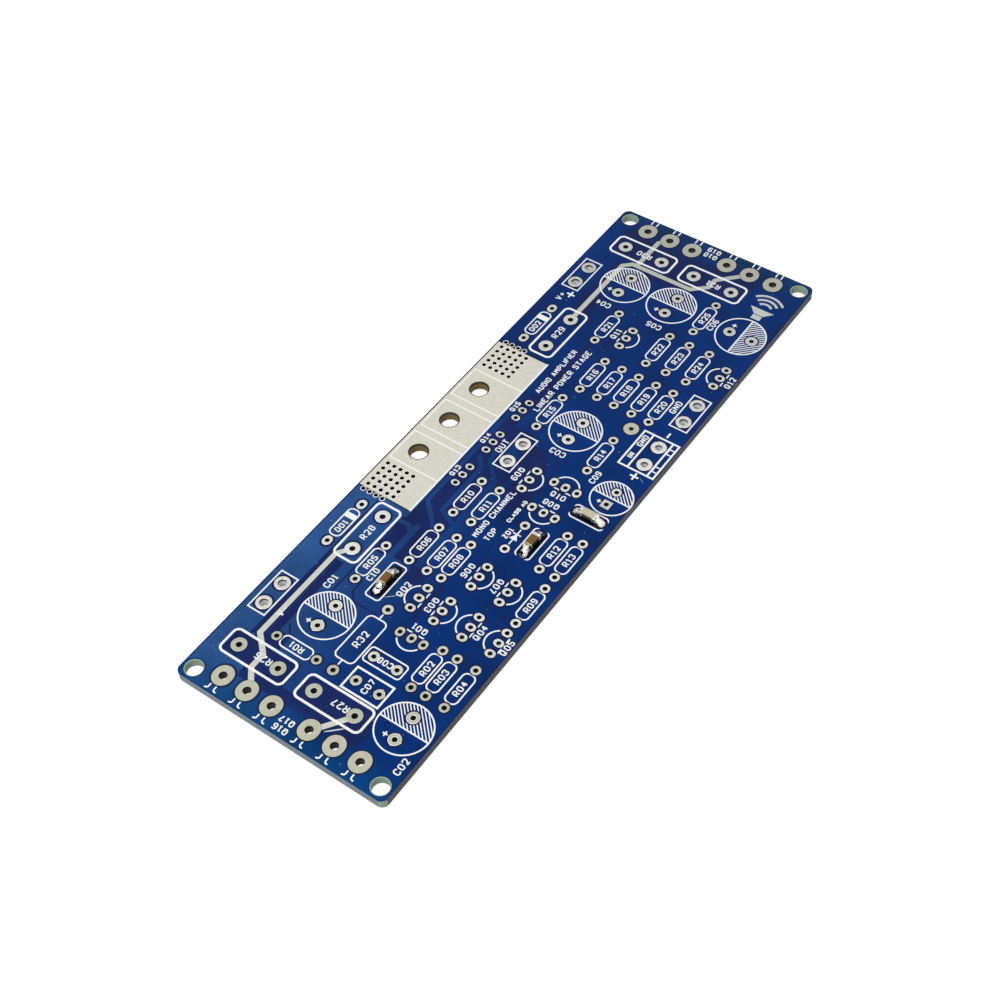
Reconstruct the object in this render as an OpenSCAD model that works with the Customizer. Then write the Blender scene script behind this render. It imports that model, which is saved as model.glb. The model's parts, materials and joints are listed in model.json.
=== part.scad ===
// Bare audio power amplifier board: a drilled glass-epoxy laminate with foil, mask, tinned lands and
// pads, printed component outlines, and three chip capacitors soldered across leaded positions.
// Millimetres. X runs along the board, Y towards the heat spreader edge, Z up from the underside.

/* [Board] */
// Length of the board
board_length = 143.6; // [140:0.2:170]
// Width of the board
board_width = 45.7; // [45:0.2:60]
// Radius of the board's corners
corner_radius = 1.4; // [0.4:0.1:2]
// Thickness of the bare laminate
laminate_thickness = 1.8; // [0.8:0.1:3]
// Thickness of the copper foil on each side
foil_thickness = 0.07; // [0.035:0.005:0.1]
// Thickness of the solder mask where it lies over foil
mask_over_foil = 0.03; // [0.02:0.005:0.05]
// Drop of the mask's surface where there is no foil under it
mask_drop = 0.02; // [0.01:0.005:0.025]
// Thickness of the printed legend
legend_thickness = 0.03; // [0.02:0.005:0.06]
// Width of the legend's thin lines
legend_line = 0.28; // [0.2:0.02:0.4]
// Width of the legend's bold lines
legend_bold = 0.46; // [0.4:0.02:0.7]
// Width of the legend's fine lines
legend_fine = 0.26; // [0.16:0.02:0.36]
// Width of the legend's lines round the input terminal, under the heat spreader and in polarity signs
legend_medium = 0.38; // [0.3:0.02:0.5]
// Gap that the legend keeps from every pad
legend_clearance = 0.28; // [0.1:0.02:0.4]
// Gap between a pad and the mask round it
mask_clearance = 0.08; // [0.02:0.01:0.15]
// Gap between a pad and the foil that it does not join
foil_clearance = 0.4; // [0.2:0.05:0.5]
// Distance from the board's edge to the foil
foil_edge_inset = 0.3; // [0.2:0.05:1]

/* [Board fixing] */
// Diameter of the four corner holes
corner_hole_d = 3.3; // [2.5:0.1:3.8]
// Distance that the mask keeps back from the unplated holes
hole_mask_gap = 0.16; // [0.05:0.01:0.3]
// Distance of the corner holes from the board's edges
corner_hole_inset = 2.4; // [2.2:0.1:3]

/* [Heat spreader] */
// Length of the tinned heat spreader land
spreader_length = 45; // [43:0.1:46]
// Width of the land, from its lower edge to its edge at the board's rim
spreader_width = 12; // [11:0.1:13]
// Gap between the land and the board's rim
spreader_rim_gap = 0.2; // [0.1:0.05:0.5]
// Place of the land's middle along the board
spreader_x = 1.3; // [0:0.1:2]
// Diameter of the clamping holes for the driver transistors
clamp_hole_d = 3.6; // [3:0.1:4.5]
// Distance between two clamping holes
clamp_pitch = 9.8; // [9.4:0.1:10]
// Distance of the clamping holes from the land's lower edge
clamp_height = 7.5; // [6:0.1:8]
// Distance of the middle clamping hole from the land's middle, to the left
clamp_shift = 0.2; // [0:0.1:0.6]
// Gap between the land and the wall of a clamping hole
clamp_hole_clearance = 0.25; // [0.1:0.05:0.4]
// Width of the printed frame round each transistor's place
clamp_frame_width = 8.2; // [7.5:0.1:9]
// Height of the printed frame round each transistor's place
clamp_frame_height = 11.3; // [10:0.1:11.6]
// Diameter of a thermal via's hole
via_hole_d = 0.7; // [0.4:0.05:0.9]
// Diameter of a thermal via's collar
via_collar_d = 1.2; // [1.1:0.05:1.4]
// Distance between two thermal vias
via_pitch = 1.5; // [1.45:0.01:1.55]
// Distance of the outermost row of vias from the land's ends, outwards
via_overhang = 0.5; // [0.4:0.05:0.6]
// Distance of the middle row of vias from the land's lower edge
via_height = 7.6; // [7:0.1:8]

// Columns of vias at each end of the land
via_columns = 6; // [1:1:6]
// Rows of vias at each end of the land
via_rows = 5; // [3:1:5]

/* [Plated holes] */
// Thickness of the plating on a hole's wall
plating = 0.06; // [0.03:0.01:0.1]
// Height of a pad's tinned crown above the mask
pad_crown = 0.05; // [0.02:0.01:0.08]
// Distance that the pads stand out below the bottom mask
pad_stand = 0.04; // [0.02:0.01:0.08]
// Length of a power transistor's pad
power_pad_length = 4.35; // [4:0.05:4.6]
// Width of a power transistor's pad
power_pad_width = 3.95; // [3.6:0.05:4.4]
// Hole in a power transistor's pad
power_hole_d = 1.6; // [1.2:0.1:2]
// Distance between two legs of a power transistor
power_pitch = 5.45; // [5.4:0.01:5.5]
// Distance of the left power transistors' holes from the board's end
power_inset_left = 4.0; // [3.6:0.1:4.2]
// Distance of the right power transistors' holes from the board's end
power_inset_right = 3.7; // [3.4:0.1:4]
// Pad of an emitter resistor
emitter_pad_d = 2.95; // [2.4:0.05:3.2]
// Hole in an emitter resistor's pad
emitter_hole_d = 1.15; // [0.8:0.05:1.5]
// Distance between an emitter resistor's holes
emitter_pitch = 8.9; // [8.5:0.1:9.3]
// Pad of a small resistor
resistor_pad_d = 1.9; // [1.7:0.1:2.2]
// Hole in a small resistor's pad
resistor_hole_d = 0.95; // [0.7:0.05:1.2]
// Distance between a small resistor's holes
resistor_pitch = 9; // [8.8:0.1:9.2]
// Pad of the one-watt resistor
load_pad_d = 2.1; // [1.8:0.1:2.4]
// Distance between the one-watt resistor's holes
load_pitch = 15.24; // [14.8:0.02:15.6]
// Length of a diode's pad
diode_pad_length = 2.35; // [2:0.05:2.6]
// Width of a diode's pad
diode_pad_width = 1.9; // [1.7:0.1:2.2]
// Distance between a diode's holes
diode_pitch = 10.1; // [9.8:0.1:10.4]
// Distance between the Zener diode's holes
zener_pitch = 6.4; // [6:0.1:6.8]
// Length of a small transistor's pad, across its row
small_pad_length = 2.1; // [2:0.1:2.4]
// Width of a small transistor's pad, along its row
small_pad_width = 1.7; // [1.6:0.1:2]
// Hole in a small transistor's pad
small_hole_d = 0.9; // [0.7:0.05:1.1]
// Distance between a small transistor's legs
small_pitch = 2.54; // [2.5:0.02:2.6]
// Length of a driver transistor's pad, across its row
driver_pad_length = 1.85; // [1.7:0.05:2.2]
// Width of a driver transistor's pad, along its row
driver_pad_width = 1.45; // [1.3:0.05:1.7]
// Distance between a driver transistor's legs
driver_pitch = 2.3; // [2.26:0.02:2.4]
// Distance of the driver transistors' pads below the heat spreader land
driver_drop = 2.9; // [2.4:0.1:3.2]
// Pad of a large electrolytic capacitor
can_pad_d = 2.45; // [2:0.05:2.8]
// Hole in a large electrolytic capacitor's pad
can_hole_d = 1.0; // [0.8:0.05:1.3]
// Distance between a large electrolytic capacitor's leads
can_pitch = 5.04; // [5:0.02:5.1]
// Diameter of a large electrolytic capacitor's place
can_d = 10.5; // [9.8:0.1:10.8]
// Pad of the small electrolytic capacitor
small_can_pad = 1.9; // [1.6:0.1:2.2]
// Distance between the small electrolytic capacitor's leads
small_can_pitch = 3.5; // [3.4:0.1:3.7]
// Diameter of the small electrolytic capacitor's place
small_can_d = 8.4; // [8:0.1:8.6]
// Pad of a film capacitor
film_pad_d = 2.05; // [1.8:0.05:2.4]
// Distance between a film capacitor's leads
film_pitch = 5.04; // [4.8:0.02:5.2]
// Pad of a board terminal
terminal_pad_d = 3.05; // [2.6:0.05:3.3]
// Hole in a board terminal's pad
terminal_hole_d = 1.7; // [1.3:0.05:2]
// Distance between a terminal's two holes
terminal_pitch = 5.08; // [5.04:0.02:5.12]
// Hole in the input terminal's pad
input_hole_d = 1.4; // [1.2:0.05:1.6]
// Distance of the input terminal's holes below the middle of its outline
input_pad_drop = 0.6; // [0.4:0.05:0.8]
// Distance of the emitter resistors' rows from the left power transistors' holes
emitter_inset_left = 6.4; // [6.2:0.1:7]
// Distance of the emitter resistors' rows from the right power transistors' holes
emitter_inset_right = 6.6; // [6.2:0.1:7]
// Width of the tinned power tracks
track_width = 1.05; // [0.6:0.05:1.2]
// Width of the foil tracks that cross bare fields
foil_track_width = 0.9; // [0.6:0.05:1.1]
// Width of the narrow gaps between areas of foil
foil_gap_width = 0.35; // [0.2:0.05:0.5]

/* [Component outlines] */
// Length of an emitter resistor's outline
emitter_outline_length = 14.6; // [13:0.1:15]
// Width of an emitter resistor's outline
emitter_outline_width = 5.7; // [5:0.1:5.7]
// Corner radius of an emitter resistor's outline
emitter_outline_corner = 1.3; // [0.8:0.1:2]
// Length of a small resistor's outline
resistor_outline_length = 6.9; // [6:0.1:7.1]
// Width of a small resistor's outline
resistor_outline_width = 2.76; // [2.4:0.02:2.9]
// Corner radius of a resistor's outline
outline_corner = 1.15; // [0.6:0.05:1.18]
// Length of the one-watt resistor's outline
load_outline_length = 10.5; // [9:0.1:11]
// Width of the one-watt resistor's outline
load_outline_width = 4.4; // [4:0.1:4.6]
// Length of a diode's outline
diode_outline_length = 7.2; // [6.6:0.1:7.4]
// Width of the band at a diode's cathode
diode_band = 1.2; // [0.8:0.1:1.6]
// Length of the triangle of a Zener diode's symbol
symbol_length = 1.35; // [1:0.05:1.8]
// Height of a Zener diode's symbol
symbol_height = 1.7; // [1.2:0.1:2.2]
// Radius of a small transistor's printed arc
small_arc_r = 2.75; // [2.6:0.05:2.9]
// Reach of a power transistor's leg outline where it turns outwards at the left end
leg_foot = 0.65; // [0.5:0.05:0.9]
// Radius of that turn
leg_bend = 0.4; // [0.3:0.05:0.5]
// Distance from the turned outlines to the board's left end
leg_setback = 0.6; // [0.3:0.05:0.8]
// Distance between the middles of the two lines along a power transistor's leg
leg_line_pitch = 1.24; // [1:0.02:1.4]
// Gap between those lines and a pad, and between them and the board's right end
leg_margin = 0.15; // [0.1:0.05:0.3]
// Size of the plus sign on a large electrolytic capacitor's place
can_plus = 1.0; // [0.8:0.1:1.2]
// Size of the plus sign on the small electrolytic capacitor's place
small_can_plus = 0.8; // [0.6:0.1:1]
// Distance between two lines of a capacitor's hatching
hatch_pitch = 0.56; // [0.5:0.02:0.8]
// Width of a hatching line
hatch_line = 0.2; // [0.14:0.02:0.28]
// Length of a film capacitor's outline
film_outline_length = 8.3; // [8:0.1:9]
// Width of the wide film capacitor's outline
wide_film_width = 5.1; // [4.6:0.1:5.2]
// Width of the slim film capacitor's outline
slim_film_width = 3.5; // [3:0.1:4]
// Width of the wide film capacitor's outline line
film_line = 0.38; // [0.3:0.02:0.5]
// Length of the ceramic capacitor's outline that holds its pads
long_chip_outline = 8.9; // [8.5:0.1:9.2]
// Length of the ceramic capacitors' outlines that end at their pads
short_chip_outline = 7.4; // [6.8:0.1:7.6]
// Width of a ceramic capacitor's outline
chip_outline_width = 3.4; // [3:0.1:3.6]
// Gap between a ceramic capacitor's pads and its short outline
chip_outline_gap = 0.48; // [0.3:0.02:0.6]
// Corner radius of a capacitor's outline
fine_corner = 0.8; // [0.5:0.1:1.2]
// Length of a terminal's outline
terminal_outline_length = 9.6; // [9:0.1:10]
// Width of a terminal's outline
terminal_outline_width = 4.1; // [3.9:0.05:4.3]

// Length of the input terminal's outline
input_outline_length = 9.9; // [9:0.1:10.5]
// Width of the input terminal's outline
input_outline_width = 8; // [7.4:0.1:8.6]
// Height of the strip along the top of the input terminal's outline
input_strip = 2.2; // [1.8:0.1:2.2]
// Height of the strip along the bottom of the input terminal's outline
input_foot = 1.5; // [1.2:0.1:1.5]
// Width of each key notch in the input terminal's outline
input_notch = 1.6; // [1.2:0.1:2]
// Size of the polarity signs beside the terminals
polarity_size = 1.8; // [1.4:0.1:2.2]
// Distance from the input terminal's outline to the middle of its polarity signs
polarity_gap = 1.15; // [1:0.05:1.5]

/* [Chip capacitors] */
// Length of a chip
chip_length = 3.2; // [3:0.1:3.4]
// Width of a chip
chip_width = 1.6; // [1.2:0.1:1.8]
// Height of a chip
chip_height = 1.15; // [0.8:0.05:1.4]
// Length of each metal end cap on a chip
chip_cap_length = 0.5; // [0.3:0.05:0.7]
// Radius of a chip's long edges
chip_edge = 0.14; // [0.05:0.01:0.2]
// Thickness of the metal of an end cap
chip_cap_wall = 0.06; // [0.03:0.01:0.1]
// Gap under a chip, which only its solder holds
chip_lift = 0.3; // [0.2:0.05:0.4]
// Distance between the two plated holes under a chip
chip_pitch = 5.04; // [4.9:0.02:5.2]
// Radius of the solder's upper edges where it wraps a chip
solder_round = 0.3; // [0.1:0.05:0.5]
// Height of the solder above the chip's top at its ends
solder_cover = 0.06; // [0.03:0.01:0.12]

/* [Hidden] */
$fn = 40;

// Heights of the layers, from the underside up
mask_depth = foil_thickness + mask_over_foil;
laminate_bottom = pad_stand + mask_depth;
laminate_top = laminate_bottom + laminate_thickness;
surface = laminate_top + mask_depth;

// Cutters run this far past what they cut, solder slices are this thick, and a crown's edge is this low
through = 1;
slice = 0.01;
crown_shoulder = 0.7;

// Edges and rows that other places are measured from
rim_y = board_width / 2;
end_x = board_length / 2;
spreader_top = rim_y - spreader_rim_gap;
spreader_bottom = spreader_top - spreader_width;
clamp_y = spreader_bottom + clamp_height;
driver_y = spreader_bottom - driver_drop;
via_y = spreader_bottom + via_height;
clamp_xs = [for (i = [-1:1]) spreader_x - clamp_shift + i * clamp_pitch];

// Places of the components as [x, y, turn]
left_legs_x = power_inset_left - end_x;
right_legs_x = end_x - power_inset_right;
left_row_x = left_legs_x + emitter_inset_left;
right_row_x = right_legs_x - emitter_inset_right;
power_places = [
    [left_legs_x, 9.7, 90], [left_legs_x, -9.5, 90], [right_legs_x, 9.7, 90], [right_legs_x, -9.6, 90]
];
emitter_places = [
    [left_row_x, 12.7, 90], [left_row_x, -4.2, 90], [-29.5, 14, 0],
    [32.4, 14, 0], [right_row_x, 12.1, 90], [right_row_x, -4.6, 90]
];
resistor_places = [
    [-56.3, 8.4, 90], [-47.1, -13, 0], [-47.1, -16.1, 0], [-47.2, -20.1, 0], [-34.5, 9.3, 0],
    [-25.8, 3.8, 0], [-25.9, -0.3, 0], [-25.8, -3.4, 0], [-26.4, -20.1, 0], [-12.5, 3.8, 0],
    [-12.5, -0.3, 0], [-14.4, -16.8, 0], [-14.4, -20.1, 0], [9.6, -11.1, 0], [13.5, 3.2, 0],
    [26.3, 1.7, 0], [26.3, -2.3, 0], [26.3, -6.2, 0], [26.3, -10.2, 0], [26.3, -14.1, 0],
    [39.2, 6.7, 0], [39.3, -5.3, 0], [39.3, -9.9, 0], [39.3, -14.5, 0], [52, -8.5, 0]
];
load_place = [-48.7, 0.2, 0];
diode_places = [[-30, 19, 0], [32.4, 19, 0]];
zener_place = [-15.4, -9, 0];
small_places = [
    [-43.6, -7, 90], [-36, -2.8, 0], [-36, -7.9, 180], [-36, -14.1, 0], [-36, -20.1, 0],
    [-26.3, -8.9, 180], [-26.3, -15.1, 180], [-7.9, -10.1, 90], [-2.8, -3.4, 180],
    [-0.7, -10.1, -90], [38.5, 1.7, 180], [39.2, -19.6, 0]
];
can_places = [
    [-58.7, -17, 0], [-48.1, 8.4, 0], [12.1, -3.8, 0],
    [51.4, 10.3, 0], [51.5, -0.9, 0], [51.5, -17.1, -90]
];
small_can_place = [1.9, -18.6, 0];
film_places = [[-55.75, -6.9, 90], [-50.2, -6.4, 90]];
terminal_places = [[-49.6, 19.5, 0], [49.3, 19.5, 0], [1.3, 2.7, 0], [28, -19.7, 0]];
input_place = [14.8, -18.6, 0];
test_place = [18.5, -12.3, 0];
supply_plus_place = [43, 18.1];
chip_places = [[-36.4, 4.3, 0], [-15, -12.5, 0], [-4.2, -17.6, 90]];

// Corners of the tinned tracks, from pad to pad
negative_route = [
    [left_legs_x + 0.4, 9.2], [left_row_x - 2.3, 12.3], [left_row_x + 0.8, 12.3], [left_row_x + 4, 15.8],
    [-36.5, 15.8], [-33.95, 14]
];
positive_route = [
    [36.85, 14], [right_row_x - 5.3, 14], [right_row_x - 3.8, 12.4], [right_row_x - 3.8, -1.6],
    [right_row_x - 1.2, -4.4], [right_row_x + 1.4, -4.5], [right_legs_x, -9.6]
];
positive_branch = [[right_row_x - 3.8, 11.4], [right_legs_x - 1.8, 11.4], [right_legs_x, 9.7]];
emitter_route = [[left_legs_x + 0.3, -4.5], [left_row_x + 0.2, -9]];

// Fields without foil, as [left, bottom, right, top]
bare_fields = [
    [left_row_x - 5, -12.6, left_row_x - 2.5, 13.4], [left_row_x - 2.5, -12.6, left_row_x + 2.8, 2.9],
    [left_row_x - 2.5, 5.2, left_row_x + 2.8, 19.4],
    [left_row_x + 2.8, 10.6, left_row_x + 6.3, 14.8], [left_row_x + 6.3, 13.2, -37.4, 14.8],
    [left_row_x + 3, 16.7, -22.4, 17.3],
    [-32, 7.9, -22.9, 10.9], [-22.9, 6.6, 15.6, 10.2], [-31.4, 2.3, 6.8, 6.6], [-34.4, -1.2, -30.8, 2.4],
    [-7.4, -6.9, 5, 2.3], [-10.8, -6.2, -7.4, -3.4], [-41, -5.4, -31.4, -4.4],
    [15, 6.3, 34.6, 7.5], [31.4, 3.7, 36.6, 4.3], [40, 14.8, 56.6, 15.9], [40, 11.8, 46, 13.1],
    [right_row_x - 2.9, -12.2, right_row_x + 4.9, 19.2], [right_row_x - 5.9, 2.6, right_row_x - 4.7, 9]
];

// Foil tracks that cross them, and narrow gaps that part one area of foil from the next
foil_tracks = [
    [[-40, 7.1], [-25.6, 7.1], [-23.9, 8.8], [-23.9, 12]],
    [[-22, 4.6], [-17.2, 9.5], [17, 9.5]],
    [[-19.8, 1.2], [-17.7, 5.8], [-5.3, 5.8], [-2.9, 8]],
    [[-13, 1.7], [-6.7, 1.7], [-3, 5.6], [-0.6, 5.8]],
    [[-8, -0.5], [-2.8, -0.5], [-0.9, 0.6]],
    [[-5.6, -8], [-1.4, -5.8], [1.9, -5.5], [5.6, -1.8]],
    [[1.5, -8.4], [5.4, -4.6]]
];
foil_islands = [[0, 1, 2.6, 4.2]];
foil_gaps = [
    [[-43.1, 1], [-43.1, 6.3], [-41.4, 7.9], [-38.6, 7.9]],
    [[-44.8, 11], [-36.8, 11]],
    [[-24.2, -7.4], [-22, -5.4], [-14.5, -5.4], [-12.4, -4]],
    [[-22.9, -8.2], [-21.3, -6.8], [-13.4, -6.8], [-11.6, -8.4]],
    [[-55, 10.9], [-53, 12.8]], [[-46, -17.7], [-30.6, -17.7]]
];

// ---- flat building shapes ----

module place(p) translate([p[0], p[1]]) rotate(p[2]) children();
module places(list) for (p = list) place(p) children();
module pair(pitch) for (side = [-1, 1]) translate([side * pitch / 2, 0]) children();
module triple(pitch) for (i = [-1:1]) translate([i * pitch, 0]) children();

module rounded(size, r) {
    square([size[0] - 2 * r, size[1]], center = true);
    square([size[0], size[1] - 2 * r], center = true);
    for (x = [-1, 1], y = [-1, 1])
        translate([x * (size[0] / 2 - r), y * (size[1] / 2 - r)]) circle(r);
}

module oval(length, width) {
    square([length - width, width], center = true);
    pair(length - width) circle(d = width);
}

module frame(size, r, line) difference() {
    rounded(size, r);
    rounded([size[0] - 2 * line, size[1] - 2 * line], r - line);
}

module square_frame(size, line) difference() {
    square(size, center = true);
    square([size[0] - 2 * line, size[1] - 2 * line], center = true);
}

module stroke(a, b, width) {
    run = b - a;
    translate(a) rotate(atan2(run[1], run[0])) translate([0, -width / 2]) square([norm(run), width]);
}

// A line of one width through its points, mitred where it turns
function side_of(v) = [-v[1], v[0]] / norm(v);
function rim_point(points, i, half) = let(
    last = len(points) - 1,
    before = side_of(points[max(i, 1)] - points[max(i, 1) - 1]),
    after = side_of(points[min(i + 1, last)] - points[min(i + 1, last) - 1])
) points[i] + half * (before + after) / (1 + before * after);
module route(points, width) polygon(concat(
    [for (i = [0:len(points) - 1]) rim_point(points, i, width / 2)],
    [for (i = [len(points) - 1:-1:0]) rim_point(points, i, -width / 2)]
));

module cross(size, line) {
    square([size, line], center = true);
    square([line, size], center = true);
}

module board_outline() rounded([board_length, board_width], corner_radius);
module corner_holes(extra = 0) for (x = [-1, 1], y = [-1, 1])
    translate([x * (end_x - corner_hole_inset), y * (rim_y - corner_hole_inset)])
        circle(d = corner_hole_d + 2 * extra);
module clamp_holes(extra = 0) for (x = clamp_xs) translate([x, clamp_y]) circle(d = clamp_hole_d + 2 * extra);

// ---- lands of each kind of pad, grown by an extra margin, and their holes ----

module power_lands(extra = 0) places(power_places) triple(power_pitch)
    rotate(90) oval(power_pad_length + 2 * extra, power_pad_width + 2 * extra);
module power_holes(extra = 0) places(power_places) triple(power_pitch) circle(d = power_hole_d + 2 * extra);

module emitter_disc(d) places(emitter_places) pair(emitter_pitch) circle(d = d);
module resistor_disc(d) places(resistor_places) pair(resistor_pitch) circle(d = d);
module load_disc(d) place(load_place) pair(load_pitch) circle(d = d);
module zener_disc(d) place(zener_place) pair(zener_pitch) circle(d = d);
module film_disc(d) places(film_places) pair(film_pitch) circle(d = d);
module chip_disc(d) places(chip_places) pair(chip_pitch) circle(d = d);
module terminal_disc(d) places(terminal_places) pair(terminal_pitch) circle(d = d);
module input_disc(d) place(input_place) translate([0, -input_pad_drop]) pair(terminal_pitch) circle(d = d);
module test_disc(d) place(test_place) circle(d = d);

module diode_lands(extra = 0) places(diode_places) pair(diode_pitch)
    oval(diode_pad_length + 2 * extra, diode_pad_width + 2 * extra);
module diode_holes(extra = 0) places(diode_places) pair(diode_pitch) circle(d = resistor_hole_d + 2 * extra);

module small_lands(extra = 0) places(small_places) triple(small_pitch)
    rotate(90) oval(small_pad_length + 2 * extra, small_pad_width + 2 * extra);
module small_holes(extra = 0) places(small_places) triple(small_pitch) circle(d = small_hole_d + 2 * extra);

module driver_lands(extra = 0) for (x = clamp_xs) translate([x, driver_y]) triple(driver_pitch)
    rotate(90) oval(driver_pad_length + 2 * extra, driver_pad_width + 2 * extra);
module driver_holes(extra = 0) for (x = clamp_xs) translate([x, driver_y]) triple(driver_pitch)
    circle(d = small_hole_d + 2 * extra);

module can_lands(extra = 0) {
    places(can_places) pair(can_pitch) circle(d = can_pad_d + 2 * extra);
    place(small_can_place) {
        translate([-small_can_pitch / 2, 0]) square(small_can_pad + 2 * extra, center = true);
        translate([small_can_pitch / 2, 0]) circle(d = small_can_pad + 2 * extra);
    }
}
module can_holes(extra = 0) {
    places(can_places) pair(can_pitch) circle(d = can_hole_d + 2 * extra);
    place(small_can_place) pair(small_can_pitch) circle(d = resistor_hole_d + 2 * extra);
}

module via_places() for (side = [-1, 1], column = [0:via_columns - 1], row = [0:via_rows - 1])
    if (column + row > 0)
        translate([spreader_x + side * (spreader_length / 2 + via_overhang - column * via_pitch),
                   via_y + (row - (via_rows - 1) / 2) * via_pitch]) children();
module via_collars() via_places() circle(d = via_collar_d);
module via_holes(extra = 0) via_places() circle(d = via_hole_d + 2 * extra);

module spreader_outline() translate([spreader_x - spreader_length / 2, spreader_bottom])
    square([spreader_length, spreader_width]);
module tinned_routes(width) {
    route(negative_route, width);
    route(positive_route, width);
    route(positive_branch, width);
    route(emitter_route, width);
}

module all_lands(extra = 0) {
    power_lands(extra);
    emitter_disc(emitter_pad_d + 2 * extra);
    resistor_disc(resistor_pad_d + 2 * extra);
    load_disc(load_pad_d + 2 * extra);
    diode_lands(extra);
    zener_disc(resistor_pad_d + 2 * extra);
    small_lands(extra);
    driver_lands(extra);
    can_lands(extra);
    film_disc(film_pad_d + 2 * extra);
    chip_disc(resistor_pad_d + 2 * extra);
    terminal_disc(terminal_pad_d + 2 * extra);
    input_disc(terminal_pad_d + 2 * extra);
    test_disc(terminal_pad_d + 2 * extra);
}

module drilled_holes() {
    power_holes(plating);
    emitter_disc(emitter_hole_d + 2 * plating);
    resistor_disc(resistor_hole_d + 2 * plating);
    load_disc(resistor_hole_d + 2 * plating);
    diode_holes(plating);
    zener_disc(resistor_hole_d + 2 * plating);
    small_holes(plating);
    driver_holes(plating);
    can_holes(plating);
    film_disc(resistor_hole_d + 2 * plating);
    chip_disc(resistor_hole_d + 2 * plating);
    terminal_disc(terminal_hole_d + 2 * plating);
    input_disc(input_hole_d + 2 * plating);
    test_disc(resistor_hole_d + 2 * plating);
    via_holes(plating);
    corner_holes();
    clamp_holes();
}

// ---- board layers ----

module laminate() color("#8d9078") translate([0, 0, laminate_bottom]) linear_extrude(laminate_thickness)
    difference() {
        board_outline();
        drilled_holes();
    }

module pour() difference() {
    square([board_length - 2 * foil_edge_inset, board_width - 2 * foil_edge_inset], center = true);
    corner_holes(foil_clearance);
    clamp_holes(foil_clearance);
    for (x = [-1, 1], y = [-1, 1])
        translate([x * end_x, y * rim_y]) square(2 * corner_hole_inset, center = true);
}

module fields(list) for (f = list) translate([f[0], f[1]]) square([f[2] - f[0], f[3] - f[1]]);

module top_foil_shape() difference() {
    union() {
        difference() {
            pour();
            fields(bare_fields);
            all_lands(foil_clearance);
            tinned_routes(track_width + 2 * foil_clearance);
        }
        for (points = foil_tracks) route(points, foil_track_width);
        fields(foil_islands);
    }
    for (points = foil_gaps) route(points, foil_gap_width);
    all_lands(mask_clearance);
    tinned_routes(track_width + 2 * mask_clearance);
    spreader_clear();
    via_collars();
}

module spreader_clear()
    translate([spreader_x - spreader_length / 2 - mask_clearance, spreader_bottom - mask_clearance])
        square([spreader_length + 2 * mask_clearance, rim_y]);

module top_foil() color("#b87333") translate([0, 0, laminate_top]) linear_extrude(foil_thickness)
    top_foil_shape();

module bottom_foil_shape() difference() {
    pour();
    all_lands(foil_clearance);
    via_holes(plating);
}
module bottom_foil() color("#b87333") translate([0, 0, pad_stand + mask_over_foil])
    linear_extrude(foil_thickness) bottom_foil_shape();

module top_mask_shape() difference() {
    board_outline();
    all_lands(mask_clearance);
    tinned_routes(track_width);
    spreader_outline();
    via_collars();
    corner_holes(hole_mask_gap);
}

module top_mask() color("#0b3478") difference() {
    translate([0, 0, laminate_top]) linear_extrude(mask_depth) top_mask_shape();
    translate([0, 0, laminate_top - through]) linear_extrude(through + foil_thickness) top_foil_shape();
    translate([0, 0, surface - mask_drop]) linear_extrude(through) difference() {
        square([board_length + through, board_width + through], center = true);
        top_foil_shape();
    }
}

module bottom_mask() color("#0b3478") difference() {
    translate([0, 0, pad_stand]) linear_extrude(mask_depth) difference() {
        board_outline();
        all_lands(mask_clearance);
        via_holes(plating);
        corner_holes(hole_mask_gap);
        clamp_holes(hole_mask_gap);
    }
    translate([0, 0, pad_stand + mask_over_foil]) linear_extrude(mask_depth) bottom_foil_shape();
}

// ---- tinned copper ----

module tinned(z0, height) color("#cfcdc0") translate([0, 0, z0]) linear_extrude(height) children();

module heat_spreader() tinned(laminate_top, mask_depth) difference() {
    spreader_outline();
    via_collars();
    clamp_holes(clamp_hole_clearance);
}

module thermal_vias() color("#dedccf") via_places() rotate_extrude() polygon([
    [via_hole_d / 2, pad_stand + mask_over_foil],
    [via_hole_d / 2 + plating, pad_stand + mask_over_foil],
    [via_hole_d / 2 + plating, laminate_top],
    [via_collar_d / 2, laminate_top],
    [via_collar_d / 2, surface],
    [(via_hole_d + via_collar_d) / 4, surface + pad_crown / 2],
    [via_hole_d / 2, surface]
]);

module negative_track() tinned(laminate_top, mask_depth) difference() {
    route(negative_route, track_width);
    power_lands();
    emitter_disc(emitter_pad_d);
}

module positive_track() tinned(laminate_top, mask_depth) difference() {
    union() {
        route(positive_route, track_width);
        route(positive_branch, track_width);
    }
    power_lands();
    emitter_disc(emitter_pad_d);
}

module emitter_track() tinned(laminate_top, mask_depth) difference() {
    route(emitter_route, track_width);
    power_lands();
    emitter_disc(emitter_pad_d);
}

// One round plated hole with a land on each side and a crowned top, which is flat where solder covers it
module eyelet(land_d, hole_d, crowned = true) color("#d8d6c8") rotate_extrude() polygon([
    [hole_d / 2, 0],
    [land_d / 2, 0],
    [land_d / 2, laminate_bottom],
    [hole_d / 2 + plating, laminate_bottom],
    [hole_d / 2 + plating, laminate_top],
    [land_d / 2, laminate_top],
    [land_d / 2, surface],
    if (crowned) [land_d / 2 - pad_crown, surface + pad_crown * crown_shoulder],
    if (crowned) [(land_d + hole_d) / 4, surface + pad_crown],
    if (crowned) [hole_d / 2 + pad_crown, surface + pad_crown * crown_shoulder],
    [hole_d / 2, surface]
]);

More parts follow.
